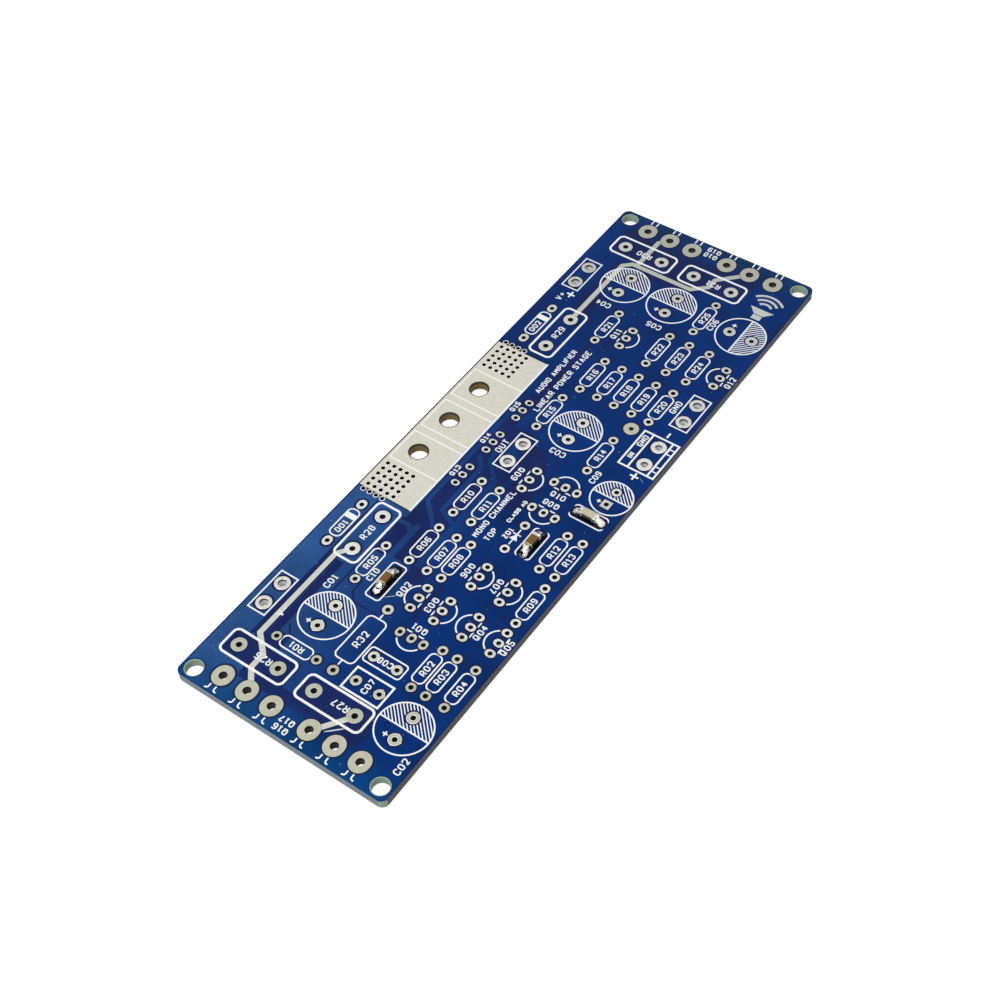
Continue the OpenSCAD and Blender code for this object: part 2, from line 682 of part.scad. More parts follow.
// One oval plated hole, its longer side along Y, with a stepped crown
module oval_eyelet(length, width, hole_d) color("#d8d6c8") difference() {
    union() {
        linear_extrude(laminate_bottom) rotate(90) oval(length, width);
        cylinder(h = surface, d = hole_d + 2 * plating);
        translate([0, 0, laminate_top]) linear_extrude(mask_depth) rotate(90) oval(length, width);
        translate([0, 0, surface]) linear_extrude(pad_crown)
            rotate(90) oval(length - 2 * pad_crown, width - 2 * pad_crown);
    }
    drill(hole_d);
}

module drill(d) translate([0, 0, -through]) cylinder(h = surface + 2 * through, d = d);

module power_transistor_pads() places(power_places) triple(power_pitch)
    oval_eyelet(power_pad_length, power_pad_width, power_hole_d);
module emitter_resistor_pads() places(emitter_places) pair(emitter_pitch)
    eyelet(emitter_pad_d, emitter_hole_d);
module resistor_pads() places(resistor_places) pair(resistor_pitch) eyelet(resistor_pad_d, resistor_hole_d);
module load_resistor_pads() place(load_place) pair(load_pitch) eyelet(load_pad_d, resistor_hole_d);
module diode_pads() places(diode_places) pair(diode_pitch)
    rotate(90) oval_eyelet(diode_pad_length, diode_pad_width, resistor_hole_d);
module zener_pads() place(zener_place) pair(zener_pitch) eyelet(resistor_pad_d, resistor_hole_d);
module small_transistor_pads() places(small_places) triple(small_pitch)
    oval_eyelet(small_pad_length, small_pad_width, small_hole_d);
module driver_transistor_pads() for (x = clamp_xs) translate([x, driver_y]) triple(driver_pitch)
    oval_eyelet(driver_pad_length, driver_pad_width, small_hole_d);
module film_capacitor_pads() places(film_places) pair(film_pitch) eyelet(film_pad_d, resistor_hole_d);
module chip_capacitor_pads() places(chip_places) pair(chip_pitch)
    eyelet(resistor_pad_d, resistor_hole_d, false);
module terminal_pads() {
    places(terminal_places) pair(terminal_pitch) eyelet(terminal_pad_d, terminal_hole_d);
    place(input_place) translate([0, -input_pad_drop]) pair(terminal_pitch)
        eyelet(terminal_pad_d, input_hole_d);
}
module test_pad() place(test_place) eyelet(terminal_pad_d, resistor_hole_d);

module electrolytic_pads() {
    places(can_places) pair(can_pitch) eyelet(can_pad_d, can_hole_d);
    place(small_can_place) translate([small_can_pitch / 2, 0]) eyelet(small_can_pad, resistor_hole_d);
    place(small_can_place) translate([-small_can_pitch / 2, 0]) square_eyelet(small_can_pad, resistor_hole_d);
}

// One square plated hole, which marks a capacitor's positive lead
module square_eyelet(side, hole_d) color("#d8d6c8") difference() {
    union() {
        translate([-side / 2, -side / 2, 0]) cube([side, side, laminate_bottom]);
        cylinder(h = surface, d = hole_d + 2 * plating);
        translate([-side / 2, -side / 2, laminate_top]) cube([side, side, mask_depth + pad_crown]);
    }
    drill(hole_d);
}

// ---- printed legend ----

module ink() color("#f2f3ee") translate([0, 0, surface]) linear_extrude(legend_thickness) children();

module resistor_legend() ink() {
    difference() {
        places(resistor_places)
            frame([resistor_outline_length, resistor_outline_width], outline_corner, legend_line);
        resistor_disc(resistor_pad_d + 2 * legend_clearance);
    }
    place(load_place) {
        frame([load_outline_length, load_outline_width], outline_corner, legend_line);
        lead = (load_pitch - load_outline_length - load_pad_d) / 2 - legend_clearance;
        pair(load_outline_length + lead) square([lead, legend_line], center = true);
    }
}

module emitter_resistor_legend() ink() places(emitter_places)
    frame([emitter_outline_length, emitter_outline_width], emitter_outline_corner, legend_bold);

// Half ring on the round side of the case, and two dashes on its flat side
module small_transistor_legend() ink() difference() {
    places(small_places) {
        intersection() {
            difference() {
                circle(small_arc_r);
                circle(small_arc_r - legend_line);
            }
            translate([-small_arc_r, 0]) square([2 * small_arc_r, small_arc_r]);
        }
        translate([0, -small_pad_length / 2]) pair(small_pitch)
            square([small_pitch / 2, legend_fine], center = true);
    }
    small_lands(legend_clearance);
}

// Two strokes to the board's end for every leg of a power transistor, turned outwards at the left end
module power_leg_legend() ink() for (p = power_places, i = [-1:1], s = [-1, 1]) {
    side = sign(p[0]);
    reach = power_pad_length / 2 + leg_margin;
    start = [p[0] + side * reach, p[1] + i * power_pitch + s * leg_line_pitch / 2];
    if (side > 0) stroke(start, [end_x - leg_margin, start[1]], legend_line);
    else leg_hook(start, s);
}

module leg_hook(start, s) {
    turn = [leg_setback + leg_bend - end_x, start[1] + s * leg_bend];
    route(concat(
        [start],
        [for (a = [0:30:90]) turn - leg_bend * [sin(a), s * cos(a)]],
        [[turn[0] - leg_bend, start[1] + s * leg_foot]]
    ), legend_line);
}

module hatch(d) intersection() {
    circle(d = d - legend_line);
    translate([0, -d / 2]) square([d / 2, d]);
    for (i = [-ceil(d / hatch_pitch / 2):ceil(d / hatch_pitch / 2)])
        rotate(45) translate([-d, i * hatch_pitch - hatch_line / 2]) square([2 * d, hatch_line]);
}

module can_outline(d) {
    difference() {
        circle(d = d);
        circle(d = d - 2 * legend_line);
    }
    square([legend_line, d - legend_line], center = true);
    hatch(d);
}

module electrolytic_legend() ink() {
    difference() {
        union() {
            places(can_places) can_outline(can_d);
            place(small_can_place) can_outline(small_can_d);
        }
        can_lands(legend_clearance);
    }
    places(can_places) translate([-can_pitch / 2, can_pad_d / 2 + legend_clearance + can_plus / 2])
        cross(can_plus, legend_fine);
    place(small_can_place)
        translate([-small_can_pitch / 2, small_can_pad / 2 + legend_clearance + small_can_plus / 2])
            cross(small_can_plus, legend_fine);
}

module film_capacitor_legend() ink() {
    place(film_places[0]) square_frame([film_outline_length, wide_film_width], film_line);
    place(film_places[1]) frame([film_outline_length, slim_film_width], fine_corner, legend_line);
}

module chip_capacitor_legend() ink() {
    place(chip_places[0]) frame([long_chip_outline, chip_outline_width], fine_corner, legend_line);
    difference() {
        for (i = [1, 2]) place(chip_places[i])
            frame([short_chip_outline, chip_outline_width], fine_corner, legend_line);
        chip_disc(resistor_pad_d + 2 * chip_outline_gap);
    }
}

module diode_legend() ink() {
    difference() {
        places(diode_places) {
            frame([diode_outline_length, resistor_outline_width], outline_corner, legend_line);
            translate([diode_outline_length / 4, 0])
                square([diode_band, resistor_outline_width - legend_line], center = true);
        }
        diode_lands(legend_clearance);
    }
    place(zener_place) {
        length = zener_pitch - resistor_pad_d - 2 * legend_clearance;
        square([length, legend_fine], center = true);
        polygon([[-symbol_length / 2, symbol_height / 2], [-symbol_length / 2, -symbol_height / 2],
                 [symbol_length / 2, 0]]);
        translate([symbol_length / 2, 0]) square([legend_fine, symbol_height], center = true);
    }
}

module terminal_legend() ink() {
    places(terminal_places) square_frame([terminal_outline_length, terminal_outline_width], legend_line);
    place(input_place) {
        square_frame([input_outline_length, input_outline_width], legend_medium);
        for (y = [input_outline_width / 2 - input_strip, input_foot - input_outline_width / 2])
            translate([0, y]) square([input_outline_length - legend_medium, legend_medium], center = true);
        pair(terminal_pitch) translate([0, (input_foot - input_outline_width) / 2])
            square_frame([input_notch, input_foot], legend_fine);
        sign_x = input_outline_length / 2 + polarity_gap;
        translate([-sign_x, -input_pad_drop]) cross(polarity_size, legend_medium);
        translate([sign_x, -input_pad_drop])
            square([polarity_size - legend_bold, legend_medium], center = true);
    }
    translate(supply_plus_place) cross(polarity_size, legend_medium);
}

module heat_spreader_legend() ink() {
    translate([spreader_x - spreader_length / 2, spreader_bottom - legend_medium / 2])
        square([spreader_length, legend_medium]);
    for (x = clamp_xs) translate([x, spreader_bottom + legend_medium / 2]) {
        for (s = [-1, 1]) translate([s * (clamp_frame_width - legend_line) / 2 - legend_line / 2, 0])
            square([legend_line, clamp_frame_height]);
        translate([-clamp_frame_width / 2, clamp_frame_height - legend_line])
            square([clamp_frame_width, legend_line]);
    }
}

// ---- chip capacitors ----

chip_bottom = surface + chip_lift;

module chip_bar(length, shrink) translate([-length / 2, 0, chip_bottom + chip_height / 2]) rotate([90, 0, 90])
    linear_extrude(length) rounded([chip_width - 2 * shrink, chip_height - 2 * shrink], chip_edge);

module chip_body(p) place(p) chip_bar(chip_length - 2 * chip_cap_wall, chip_cap_wall);

module chip_end_caps(p) color("#c9c8c2") place(p) difference() {
    chip_bar(chip_length, 0);
    chip_bar(chip_length - 2 * chip_cap_wall, chip_cap_wall);
    translate([0, 0, chip_bottom + chip_height / 2])
        cube([chip_length - 2 * chip_cap_length, 2 * chip_width, 2 * chip_height], center = true);
}

// The solder swells over the pad, narrows, and climbs over the end of the chip. Each station holds its
// place from the pad's middle in pad radii, its width in pad widths and its height in full heights.
solder_stations = [[0.92, 0.35, 0.1], [0.6, 0.78, 0.3], [0.1, 0.92, 0.56], [-0.4, 0.76, 0.76]];
solder_height = chip_lift + chip_height + solder_cover;
chip_wrap = chip_width + 2 * solder_cover;

module solder_slice(x, width, height) translate([x, 0, surface]) rotate([90, 0, 90]) linear_extrude(slice)
    intersection() {
        scale([width / 2, height]) circle(1, $fn = 24);
        translate([-width, 0]) square([2 * width, height]);
    }

module station(i) {
    s = solder_stations[i];
    solder_slice((chip_pitch + s[0] * resistor_pad_d) / 2, s[1] * resistor_pad_d, s[2] * solder_height);
}

module solder_joint() {
    last = len(solder_stations) - 1;
    difference() {
        union() {
            for (i = [0:last - 1]) hull() {
                station(i);
                station(i + 1);
            }
            hull() {
                station(last);
                chip_end_slice(chip_length / 2);
            }
            hull() {
                chip_end_slice(chip_length / 2);
                chip_end_slice((chip_length - chip_cap_length) / 2);
            }
        }
        chip_bar(chip_length, 0);
    }
    translate([chip_pitch / 2, 0, laminate_bottom])
        cylinder(h = laminate_thickness + mask_depth, d = resistor_hole_d);
}

module chip_end_slice(x) translate([x, 0, surface]) rotate([90, 0, 90]) linear_extrude(slice)
    intersection() {
        translate([0, solder_height / 2]) rounded([chip_wrap, solder_height], solder_round, $fn = 24);
        translate([-chip_wrap, 0]) square([2 * chip_wrap, solder_height]);
    }

module chip_solder(p) color("#dcdbd4") place(p) {
    solder_joint();
    mirror([1, 0, 0]) solder_joint();
}

module chip_1_body() color("#8a5a2b") chip_body(chip_places[0]);
module chip_2_body() color("#8a5a2b") chip_body(chip_places[1]);
module chip_3_body() color("#c9c6a4") chip_body(chip_places[2]);
module chip_1_end_caps() chip_end_caps(chip_places[0]);
module chip_2_end_caps() chip_end_caps(chip_places[1]);
module chip_3_end_caps() chip_end_caps(chip_places[2]);
module chip_1_solder() chip_solder(chip_places[0]);
module chip_2_solder() chip_solder(chip_places[1]);
module chip_3_solder() chip_solder(chip_places[2]);

laminate();
top_foil();
bottom_foil();
top_mask();
bottom_mask();
heat_spreader();
thermal_vias();
negative_track();
positive_track();
emitter_track();
power_transistor_pads();
emitter_resistor_pads();
resistor_pads();
load_resistor_pads();
diode_pads();
zener_pads();
small_transistor_pads();
driver_transistor_pads();
electrolytic_pads();
film_capacitor_pads();
chip_capacitor_pads();
terminal_pads();
test_pad();
resistor_legend();
emitter_resistor_legend();
small_transistor_legend();
power_leg_legend();
electrolytic_legend();
film_capacitor_legend();
chip_capacitor_legend();
diode_legend();
terminal_legend();
heat_spreader_legend();
chip_1_body();
chip_2_body();
chip_3_body();
chip_1_end_caps();
chip_2_end_caps();
chip_3_end_caps();
chip_1_solder();
chip_2_solder();
chip_3_solder();
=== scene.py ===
"""Dresses the bare audio amplifier board: finishes, printed lettering, solder and a plain studio.

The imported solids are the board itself. This script gives each of them its finish and adds what is
printed or soldered on top, every piece on the board's own surface. Sizes are in millimetres.
"""

import json
import logging
import math
import random
from dataclasses import dataclass
from enum import Enum

import bmesh
import bpy
from mathutils import Matrix, Vector

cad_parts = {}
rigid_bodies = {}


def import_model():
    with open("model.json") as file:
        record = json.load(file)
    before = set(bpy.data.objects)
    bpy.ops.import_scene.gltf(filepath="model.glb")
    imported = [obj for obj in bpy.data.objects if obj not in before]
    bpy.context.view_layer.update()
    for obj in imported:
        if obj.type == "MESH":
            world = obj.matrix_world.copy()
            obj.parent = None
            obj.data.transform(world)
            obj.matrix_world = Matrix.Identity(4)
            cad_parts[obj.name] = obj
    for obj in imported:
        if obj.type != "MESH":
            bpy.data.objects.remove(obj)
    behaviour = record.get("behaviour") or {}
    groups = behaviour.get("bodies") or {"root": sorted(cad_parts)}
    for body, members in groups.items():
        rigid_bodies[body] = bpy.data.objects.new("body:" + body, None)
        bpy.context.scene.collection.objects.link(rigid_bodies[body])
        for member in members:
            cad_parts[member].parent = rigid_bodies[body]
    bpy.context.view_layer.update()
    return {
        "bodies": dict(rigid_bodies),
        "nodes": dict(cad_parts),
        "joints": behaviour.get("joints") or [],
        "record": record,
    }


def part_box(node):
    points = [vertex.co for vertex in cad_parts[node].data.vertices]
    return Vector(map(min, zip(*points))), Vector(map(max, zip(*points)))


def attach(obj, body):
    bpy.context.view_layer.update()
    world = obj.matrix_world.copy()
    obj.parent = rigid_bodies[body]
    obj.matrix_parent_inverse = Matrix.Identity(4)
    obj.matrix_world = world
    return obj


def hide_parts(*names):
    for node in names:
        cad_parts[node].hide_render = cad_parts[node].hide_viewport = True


LOG = logging.getLogger("amplifier_board")
BODY = "root"
MM = 0.001
TO_METRES = Matrix.Scale(MM, 4)
AS_IT_IS = Matrix.Identity(4)
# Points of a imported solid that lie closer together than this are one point.
WELD_MM = 0.002
# Nearly all the values of a noise texture lie between these.
NOISE_LOW, NOISE_HIGH = 0.3, 0.7
# Radians that a wave texture turns through in one unit.
WAVE_RATE = 20.0

Colour = tuple[float, float, float, float]
Span = tuple[float, float]
Place = tuple[float, float, float]
Tree = bpy.types.NodeTree
Socket = bpy.types.NodeSocket
Tint = Colour | Socket
Shape = bmesh.types.BMesh


def to_linear(code: str) -> Colour:
    """Turns an sRGB hex colour into the linear values that shaders take.

    Args:
        code: The colour as "#rrggbb".

    Returns:
        Red, green, blue and an alpha of one.
    """
    parts = [int(code[i : i + 2], 16) / 255 for i in (1, 3, 5)]
    rgb = [p / 12.92 if p <= 0.04045 else ((p + 0.055) / 1.055) ** 2.4 for p in parts]
    return (rgb[0], rgb[1], rgb[2], 1.0)


def add_node(tree: Tree, kind: str, sockets: dict | None = None, **fields: object) -> bpy.types.Node:
    """Adds one node to a tree, with its fields, its sockets' values and its links.

    Args:
        tree: The node tree.
        kind: The node's type name, without "ShaderNode".
        sockets: For an input's name or number, a value or the socket that feeds it.
        **fields: Settings of the node itself.

    Returns:
        The new node.
    """
    node = tree.nodes.new(f"ShaderNode{kind}")
    for name, value in fields.items():
        setattr(node, name, value)
    for name, source in (sockets or {}).items():
        if isinstance(source, Socket):
            tree.links.new(source, node.inputs[name])
        else:
            node.inputs[name].default_value = source
    return node


def per_metre(size_mm: float) -> float:
    """Gives a texture's scale for a pattern that repeats every size_mm."""
    return 1 / (size_mm * MM)


def graded(
    tree: Tree, along: Socket, reach_mm: Span, first: Tint, second: Tint, blend: str = "MIX"
) -> Socket:
    """Turns one colour into another between two places along an axis.

    Args:
        tree: The material's node tree.
        along: The coordinate that is followed, in metres.
        reach_mm: Where the change starts and where it is complete.
        first: The colour before the change.
        second: The colour after it, or what then multiplies the first.
        blend: How the second is laid over the first.

    Returns:
        The graded colour.
    """
    ends = {"Value": along, "From Min": reach_mm[0] * MM, "From Max": reach_mm[1] * MM}
    share = add_node(tree, "MapRange", ends).outputs["Result"]
    pair = {0: share, 6: first, 7: second}
    return add_node(tree, "Mix", pair, data_type="RGBA", blend_type=blend).outputs[2]


def toned(tree: Tree, face: Tint, pattern: Socket, swing: Span) -> Socket:
    """Lightens and darkens a colour with a pattern.

    Args:
        tree: The material's node tree.
        face: The colour.
        pattern: The pattern's own value.
        swing: What multiplies the colour where the pattern is low and where it is high.

    Returns:
        The toned colour.
    """
    ends = {"From Min": NOISE_LOW, "From Max": NOISE_HIGH, "To Min": swing[0], "To Max": swing[1]}
    tone = add_node(tree, "MapRange", {"Value": pattern} | ends).outputs["Result"]
    pair = {0: 1.0, 6: face, 7: tone}
    return add_node(tree, "Mix", pair, data_type="RGBA", blend_type="MULTIPLY").outputs[2]


@dataclass(frozen=True)
class Finish:
    """What every finish has in common: a name, a colour and how smooth it is."""

    name: str
    colour: str
    roughness: float

    def material(self) -> bpy.types.Material:
        """Makes the material.

        Returns:
            The material, wired up.
        """
        made = bpy.data.materials.new(self.name)
        made.use_nodes = True
        tree = made.node_tree
        tree.nodes.clear()
        shader = add_node(tree, "BsdfPrincipled", {"Roughness": self.roughness} | self.wire(tree))
        add_node(tree, "OutputMaterial", {"Surface": shader.outputs["BSDF"]})
        return made

    def wire(self, tree: Tree) -> dict[str, object]:
        """Draws the finish's own patterns.

        Args:
            tree: The node tree.

        Returns:
            The shader's inputs.
        """
        raise NotImplementedError


@dataclass(frozen=True)
class SolderMask(Finish):
    """Liquid photo-imaged solder mask: a thin blue epoxy film, sprayed, levelled and cured.

    Over foil the copper behind the film makes it a clear blue. Over bare laminate, where the film lies
    lower, it is darker and more violet. The surface has the faint orange peel of a sprayed film. It is
    greener towards one end of the board and greyer towards the other, and over foil it is painted paler
    towards one corner, a painted reflection of the light.
    """

    over_laminate: str = "#132459"
    near_end: str = "#00467c"
    far_end: str = "#10395d"
    foil_level_mm: float = 2.03
    core_mm: float = 1.0
    cloud_mm: float = 9.0
    cloud: Span = (0.8, 1.25)
    grain: Span = (0.92, 1.08)
    peel_mm: float = 0.5
    peel_depth_mm: float = 0.003
    gloss: Span = (0.24, 0.38)
    specular: float = 0.07
    end_mm: Span = (65.0, 75.0)
    # A painted reflection: over foil the blue turns paler towards one corner, as painted light.
    painted_sheen: str = "#2a5288"
    painted_sheen_x_mm: Span = (22.0, -22.0)
    painted_sheen_y_mm: Span = (-4.0, 23.0)

    def wire(self, tree: Tree) -> dict[str, object]:
        """Colours the film by height and place, paints a reflection on it, clouds it and gives it its peel.

        Args:
            tree: The node tree.

        Returns:
            The shader's inputs.
        """
        place = add_node(tree, "TexCoord").outputs["Object"]
        axes = add_node(tree, "SeparateXYZ", {0: place}).outputs
        bare = 1.0
        for level_mm, side in ((self.foil_level_mm, "LESS_THAN"), (self.core_mm, "GREATER_THAN")):
            past = add_node(tree, "Math", {0: axes["Z"], 1: level_mm * MM}, operation=side).outputs[0]
            bare = add_node(tree, "Math", {0: bare, 1: past}, operation="MULTIPLY").outputs[0]
        blue = to_linear(self.colour)
        # Painted reflection: over foil the blue is mixed towards a paler blue near one corner.
        lit = graded(tree, axes["X"], self.painted_sheen_x_mm, blue, to_linear(self.painted_sheen))
        lit = graded(tree, axes["Y"], self.painted_sheen_y_mm, blue, lit)
        pair = {0: bare, 6: lit, 7: to_linear(self.over_laminate)}
        film = add_node(tree, "Mix", pair, data_type="RGBA").outputs[2]
        for way, tint in ((-1, self.near_end), (1, self.far_end)):
            reach = (way * self.end_mm[0], way * self.end_mm[1])
            film = graded(tree, axes["X"], reach, film, to_linear(tint))
        cloud, peel = (
            add_node(tree, "TexNoise", {"Vector": place, "Scale": scale, "Detail": 3.0}).outputs["Fac"]
            for scale in (per_metre(self.cloud_mm), per_metre(self.peel_mm))
        )
        film = toned(tree, toned(tree, film, cloud, self.cloud), peel, self.grain)
        ends = {"Value": peel, "To Min": self.gloss[0], "To Max": self.gloss[1]}
        gloss = add_node(tree, "MapRange", ends).outputs["Result"]
        relief = add_node(tree, "Bump", {"Height": peel, "Distance": self.peel_depth_mm * MM})
        made = {"Base Color": film, "Roughness": gloss, "Normal": relief.outputs["Normal"]}
        return made | {"Specular IOR Level": self.specular}


@dataclass(frozen=True)
class HotTin(Finish):
    """Hot-air-levelled tin on copper: a warm grey metal with the soft mottle of solder blown thin.

    Its colour differs a little towards each end of the board, and the crest of a cupped pad is painted
    greyer as a painted reflection. Inside a plated hole it is painted with shade: dark just below the
    mouth, and deeper down the colour that the barrel shows in the light that reaches it. The lands on
    the underside are as bright as those on top.
    """

    # Painted shade inside a hole: dark just below the mouth, and the barrel's colour deeper down.
    mouth: str = "#120d08"
    barrel: str = "#54463a"
    mottle_mm: float = 0.6
    mottle: Span = (0.93, 1.05)
    depth_mm: float = 0.004
    grain_mm: float = 0.14
    grain: float = 0.16
    metallic: float = 0.3
    specular: float = 0.5
    rim_mm: Span = (1.97, 2.03)
    under_mm: Span = (0.14, 0.09)
    near_tint: str = "#ffffff"
    near_mm: Span = (-35.0, -48.0)
    far_tint: str = "#f0e6e6"
    far_mm: Span = (20.0, 62.0)
    fall_mm: Span = (1.1, 1.8)
    # A painted reflection: the crest of a domed pad can be tinted greyer.
    crest_reflection: str = "#ffffff"
    crest_reflection_mm: Span = (2.079, 2.087)

    def wire(self, tree: Tree) -> dict[str, object]:
        """Mottles the tin, tints it by its place and height, grains it and paints shade inside the holes.

        Args:
            tree: The node tree.

        Returns:
            The shader's inputs.
        """
        place = add_node(tree, "TexCoord").outputs["Object"]
        axes = add_node(tree, "SeparateXYZ", {0: place}).outputs
        mottle, grain = (
            add_node(tree, "TexNoise", {"Vector": place, "Scale": scale, "Detail": detail}).outputs["Fac"]
            for scale, detail in ((per_metre(self.mottle_mm), 4.0), (per_metre(self.grain_mm), 3.0))
        )
        face = toned(tree, to_linear(self.colour), mottle, self.mottle)
        for axis, reach, tint in (
            ("X", self.near_mm, self.near_tint),
            ("X", self.far_mm, self.far_tint),
            ("Z", self.crest_reflection_mm, self.crest_reflection),
        ):
            face = graded(tree, axes[axis], reach, face, to_linear(tint), "MULTIPLY")
        # Painted shade: the hole's wall grades from the barrel's colour up to the dark mouth.
        wall = graded(tree, axes["Z"], self.fall_mm, to_linear(self.barrel), to_linear(self.mouth))
        out = 0.0
        for reach in (self.rim_mm, self.under_mm):
            ends = {"Value": axes["Z"], "From Min": reach[0] * MM, "From Max": reach[1] * MM}
            share = add_node(tree, "MapRange", ends).outputs["Result"]
            out = add_node(tree, "Math", {0: out, 1: share}, operation="MAXIMUM").outputs[0]
        tinned = add_node(tree, "Mix", {0: out, 6: wall, 7: face}, data_type="RGBA").outputs[2]
        metal, shine = (
            add_node(tree, "Math", {0: out, 1: most}, operation="MULTIPLY").outputs[0]
            for most in (self.metallic, self.specular)
        )
        ends = {"Value": grain, "To Min": self.roughness, "To Max": self.roughness + self.grain}
        rough = add_node(tree, "MapRange", ends).outputs["Result"]
        relief = add_node(tree, "Bump", {"Height": mottle, "Distance": self.depth_mm * MM})
        made = {"Base Color": tinned, "Metallic": metal, "Roughness": rough, "Specular IOR Level": shine}
        return made | {"Normal": relief.outputs["Normal"]}


@dataclass(frozen=True)
class GlassEpoxy(Finish):
    """Woven glass and epoxy, routed at the board's edges and drilled at its holes.

    The cutter leaves the plies as faint lines along the edge and broken glass as pale dust. The long sides
    are painted the darker grey of shade and the ends the paler grey of light. The drilled walls of the
    middle holes are brown with heat, and darker towards the top; those of the corner holes stay pale
    and green.
    Real plies are 0.18 mm thick, too thin to show, so that they are drawn about six times as thick.
    """

    # Painted light and shade: the long sides take the darker grey of shade, the ends the paler grey of light.
    side: str = "#585b60"
    end: str = "#8a959a"
    corner_wall: str = "#a3b8a6"
    darker_top: str = "#2e2611"
    darker_top_mm: Span = (1.45, 1.9)
    board_mm: Span = (143.6, 45.7)
    rim_mm: float = 0.02
    corner_mm: float = 62.0
    ply_mm: float = 1.131
    ply_waver: float = 1.5
    fibre_mm: float = 0.25
    fibre_flatness: float = 4.0
    dust: Span = (0.82, 1.14)
    lines: Span = (0.94, 1.05)
    depth_mm: float = 0.02
    specular: float = 0.3

    def wire(self, tree: Tree) -> dict[str, object]:
        """Draws plies across the edges and dusts them with glass ends.

        Args:
            tree: The node tree.

        Returns:
            The shader's inputs.
        """
        place = add_node(tree, "TexCoord").outputs["Object"]
        axes = add_node(tree, "SeparateXYZ", {0: place}).outputs
        # The drilled walls grade to a darker brown towards the top.
        wall = graded(tree, axes["Z"], self.darker_top_mm, to_linear(self.colour), to_linear(self.darker_top))
        # Painted light and shade on the edges: a darker grey on the long sides, a paler grey on the ends.
        for axis, limit_mm, tint in (
            ("X", self.corner_mm, self.corner_wall),
            ("X", self.board_mm[0] / 2 - self.rim_mm, self.end),
            ("Y", self.board_mm[1] / 2 - self.rim_mm, self.side),
        ):
            reach = add_node(tree, "Math", {0: axes[axis]}, operation="ABSOLUTE").outputs[0]
            past = add_node(tree, "Math", {0: reach, 1: limit_mm * MM}, operation="GREATER_THAN")
            pair = {0: past.outputs[0], 6: wall, 7: to_linear(tint)}
            wall = add_node(tree, "Mix", pair, data_type="RGBA").outputs[2]
        flat = add_node(tree, "Mapping", {"Vector": place, "Scale": (1.0, 1.0, self.fibre_flatness)})
        weave = {"Vector": flat.outputs["Vector"], "Scale": per_metre(self.fibre_mm), "Detail": 4.0}
        fibres = add_node(tree, "TexNoise", weave).outputs["Fac"]
        rate = per_metre(self.ply_mm) * math.tau / WAVE_RATE
        bands = {"Vector": place, "Scale": rate, "Distortion": self.ply_waver}
        plies = add_node(tree, "TexWave", bands, bands_direction="Z").outputs["Fac"]
        wall = toned(tree, toned(tree, wall, fibres, self.dust), plies, self.lines)
        relief = add_node(tree, "Bump", {"Height": fibres, "Distance": self.depth_mm * MM})
        made = {"Base Color": wall, "Normal": relief.outputs["Normal"]}
        return made | {"Specular IOR Level": self.specular}


@dataclass(frozen=True)
class FineGrain(Finish):
    """A surface with one fine grain in its colour and its relief: what ink, ceramic and foil share."""

    grain_mm: float = 0.12
    swing: Span = (0.85, 1.1)
    depth_mm: float = 0.004
    metallic: float = 0.0
    specular: float = 0.4

    def wire(self, tree: Tree) -> dict[str, object]:
        """Grains the colour and the relief.

        Args:
            tree: The node tree.

        Returns:
            The shader's inputs.
        """
        place = add_node(tree, "TexCoord").outputs["Object"]
        grit = {"Vector": place, "Scale": per_metre(self.grain_mm), "Detail": 3.0}
        grain = add_node(tree, "TexNoise", grit).outputs["Fac"]
        face = toned(tree, to_linear(self.colour), grain, self.swing)
        relief = add_node(tree, "Bump", {"Height": grain, "Distance": self.depth_mm * MM})
        made = {"Base Color": face, "Normal": relief.outputs["Normal"], "Metallic": self.metallic}
        return made if self.metallic else made | {"Specular IOR Level": self.specular}


@dataclass(frozen=True)
class ChipCeramic(FineGrain):
    """A fired ceramic block: matt and fine of grain, with painted shade down its sides below its top."""

    side_shade: str = "#1d170c"
    side_shade_mm: Span = (3.2, 3.44)

    def wire(self, tree: Tree) -> dict[str, object]:
        """Grains the block and paints shade on it below its top.

        Args:
            tree: The node tree.

        Returns:
            The shader's inputs.
        """
        made = super().wire(tree)
        place = add_node(tree, "TexCoord").outputs["Object"]
        height = add_node(tree, "SeparateXYZ", {0: place}).outputs["Z"]
        # Painted shade: the block darkens below its top, down its sides.
        face = graded(tree, height, self.side_shade_mm, to_linear(self.side_shade), made["Base Color"])
        return made | {"Base Color": face}


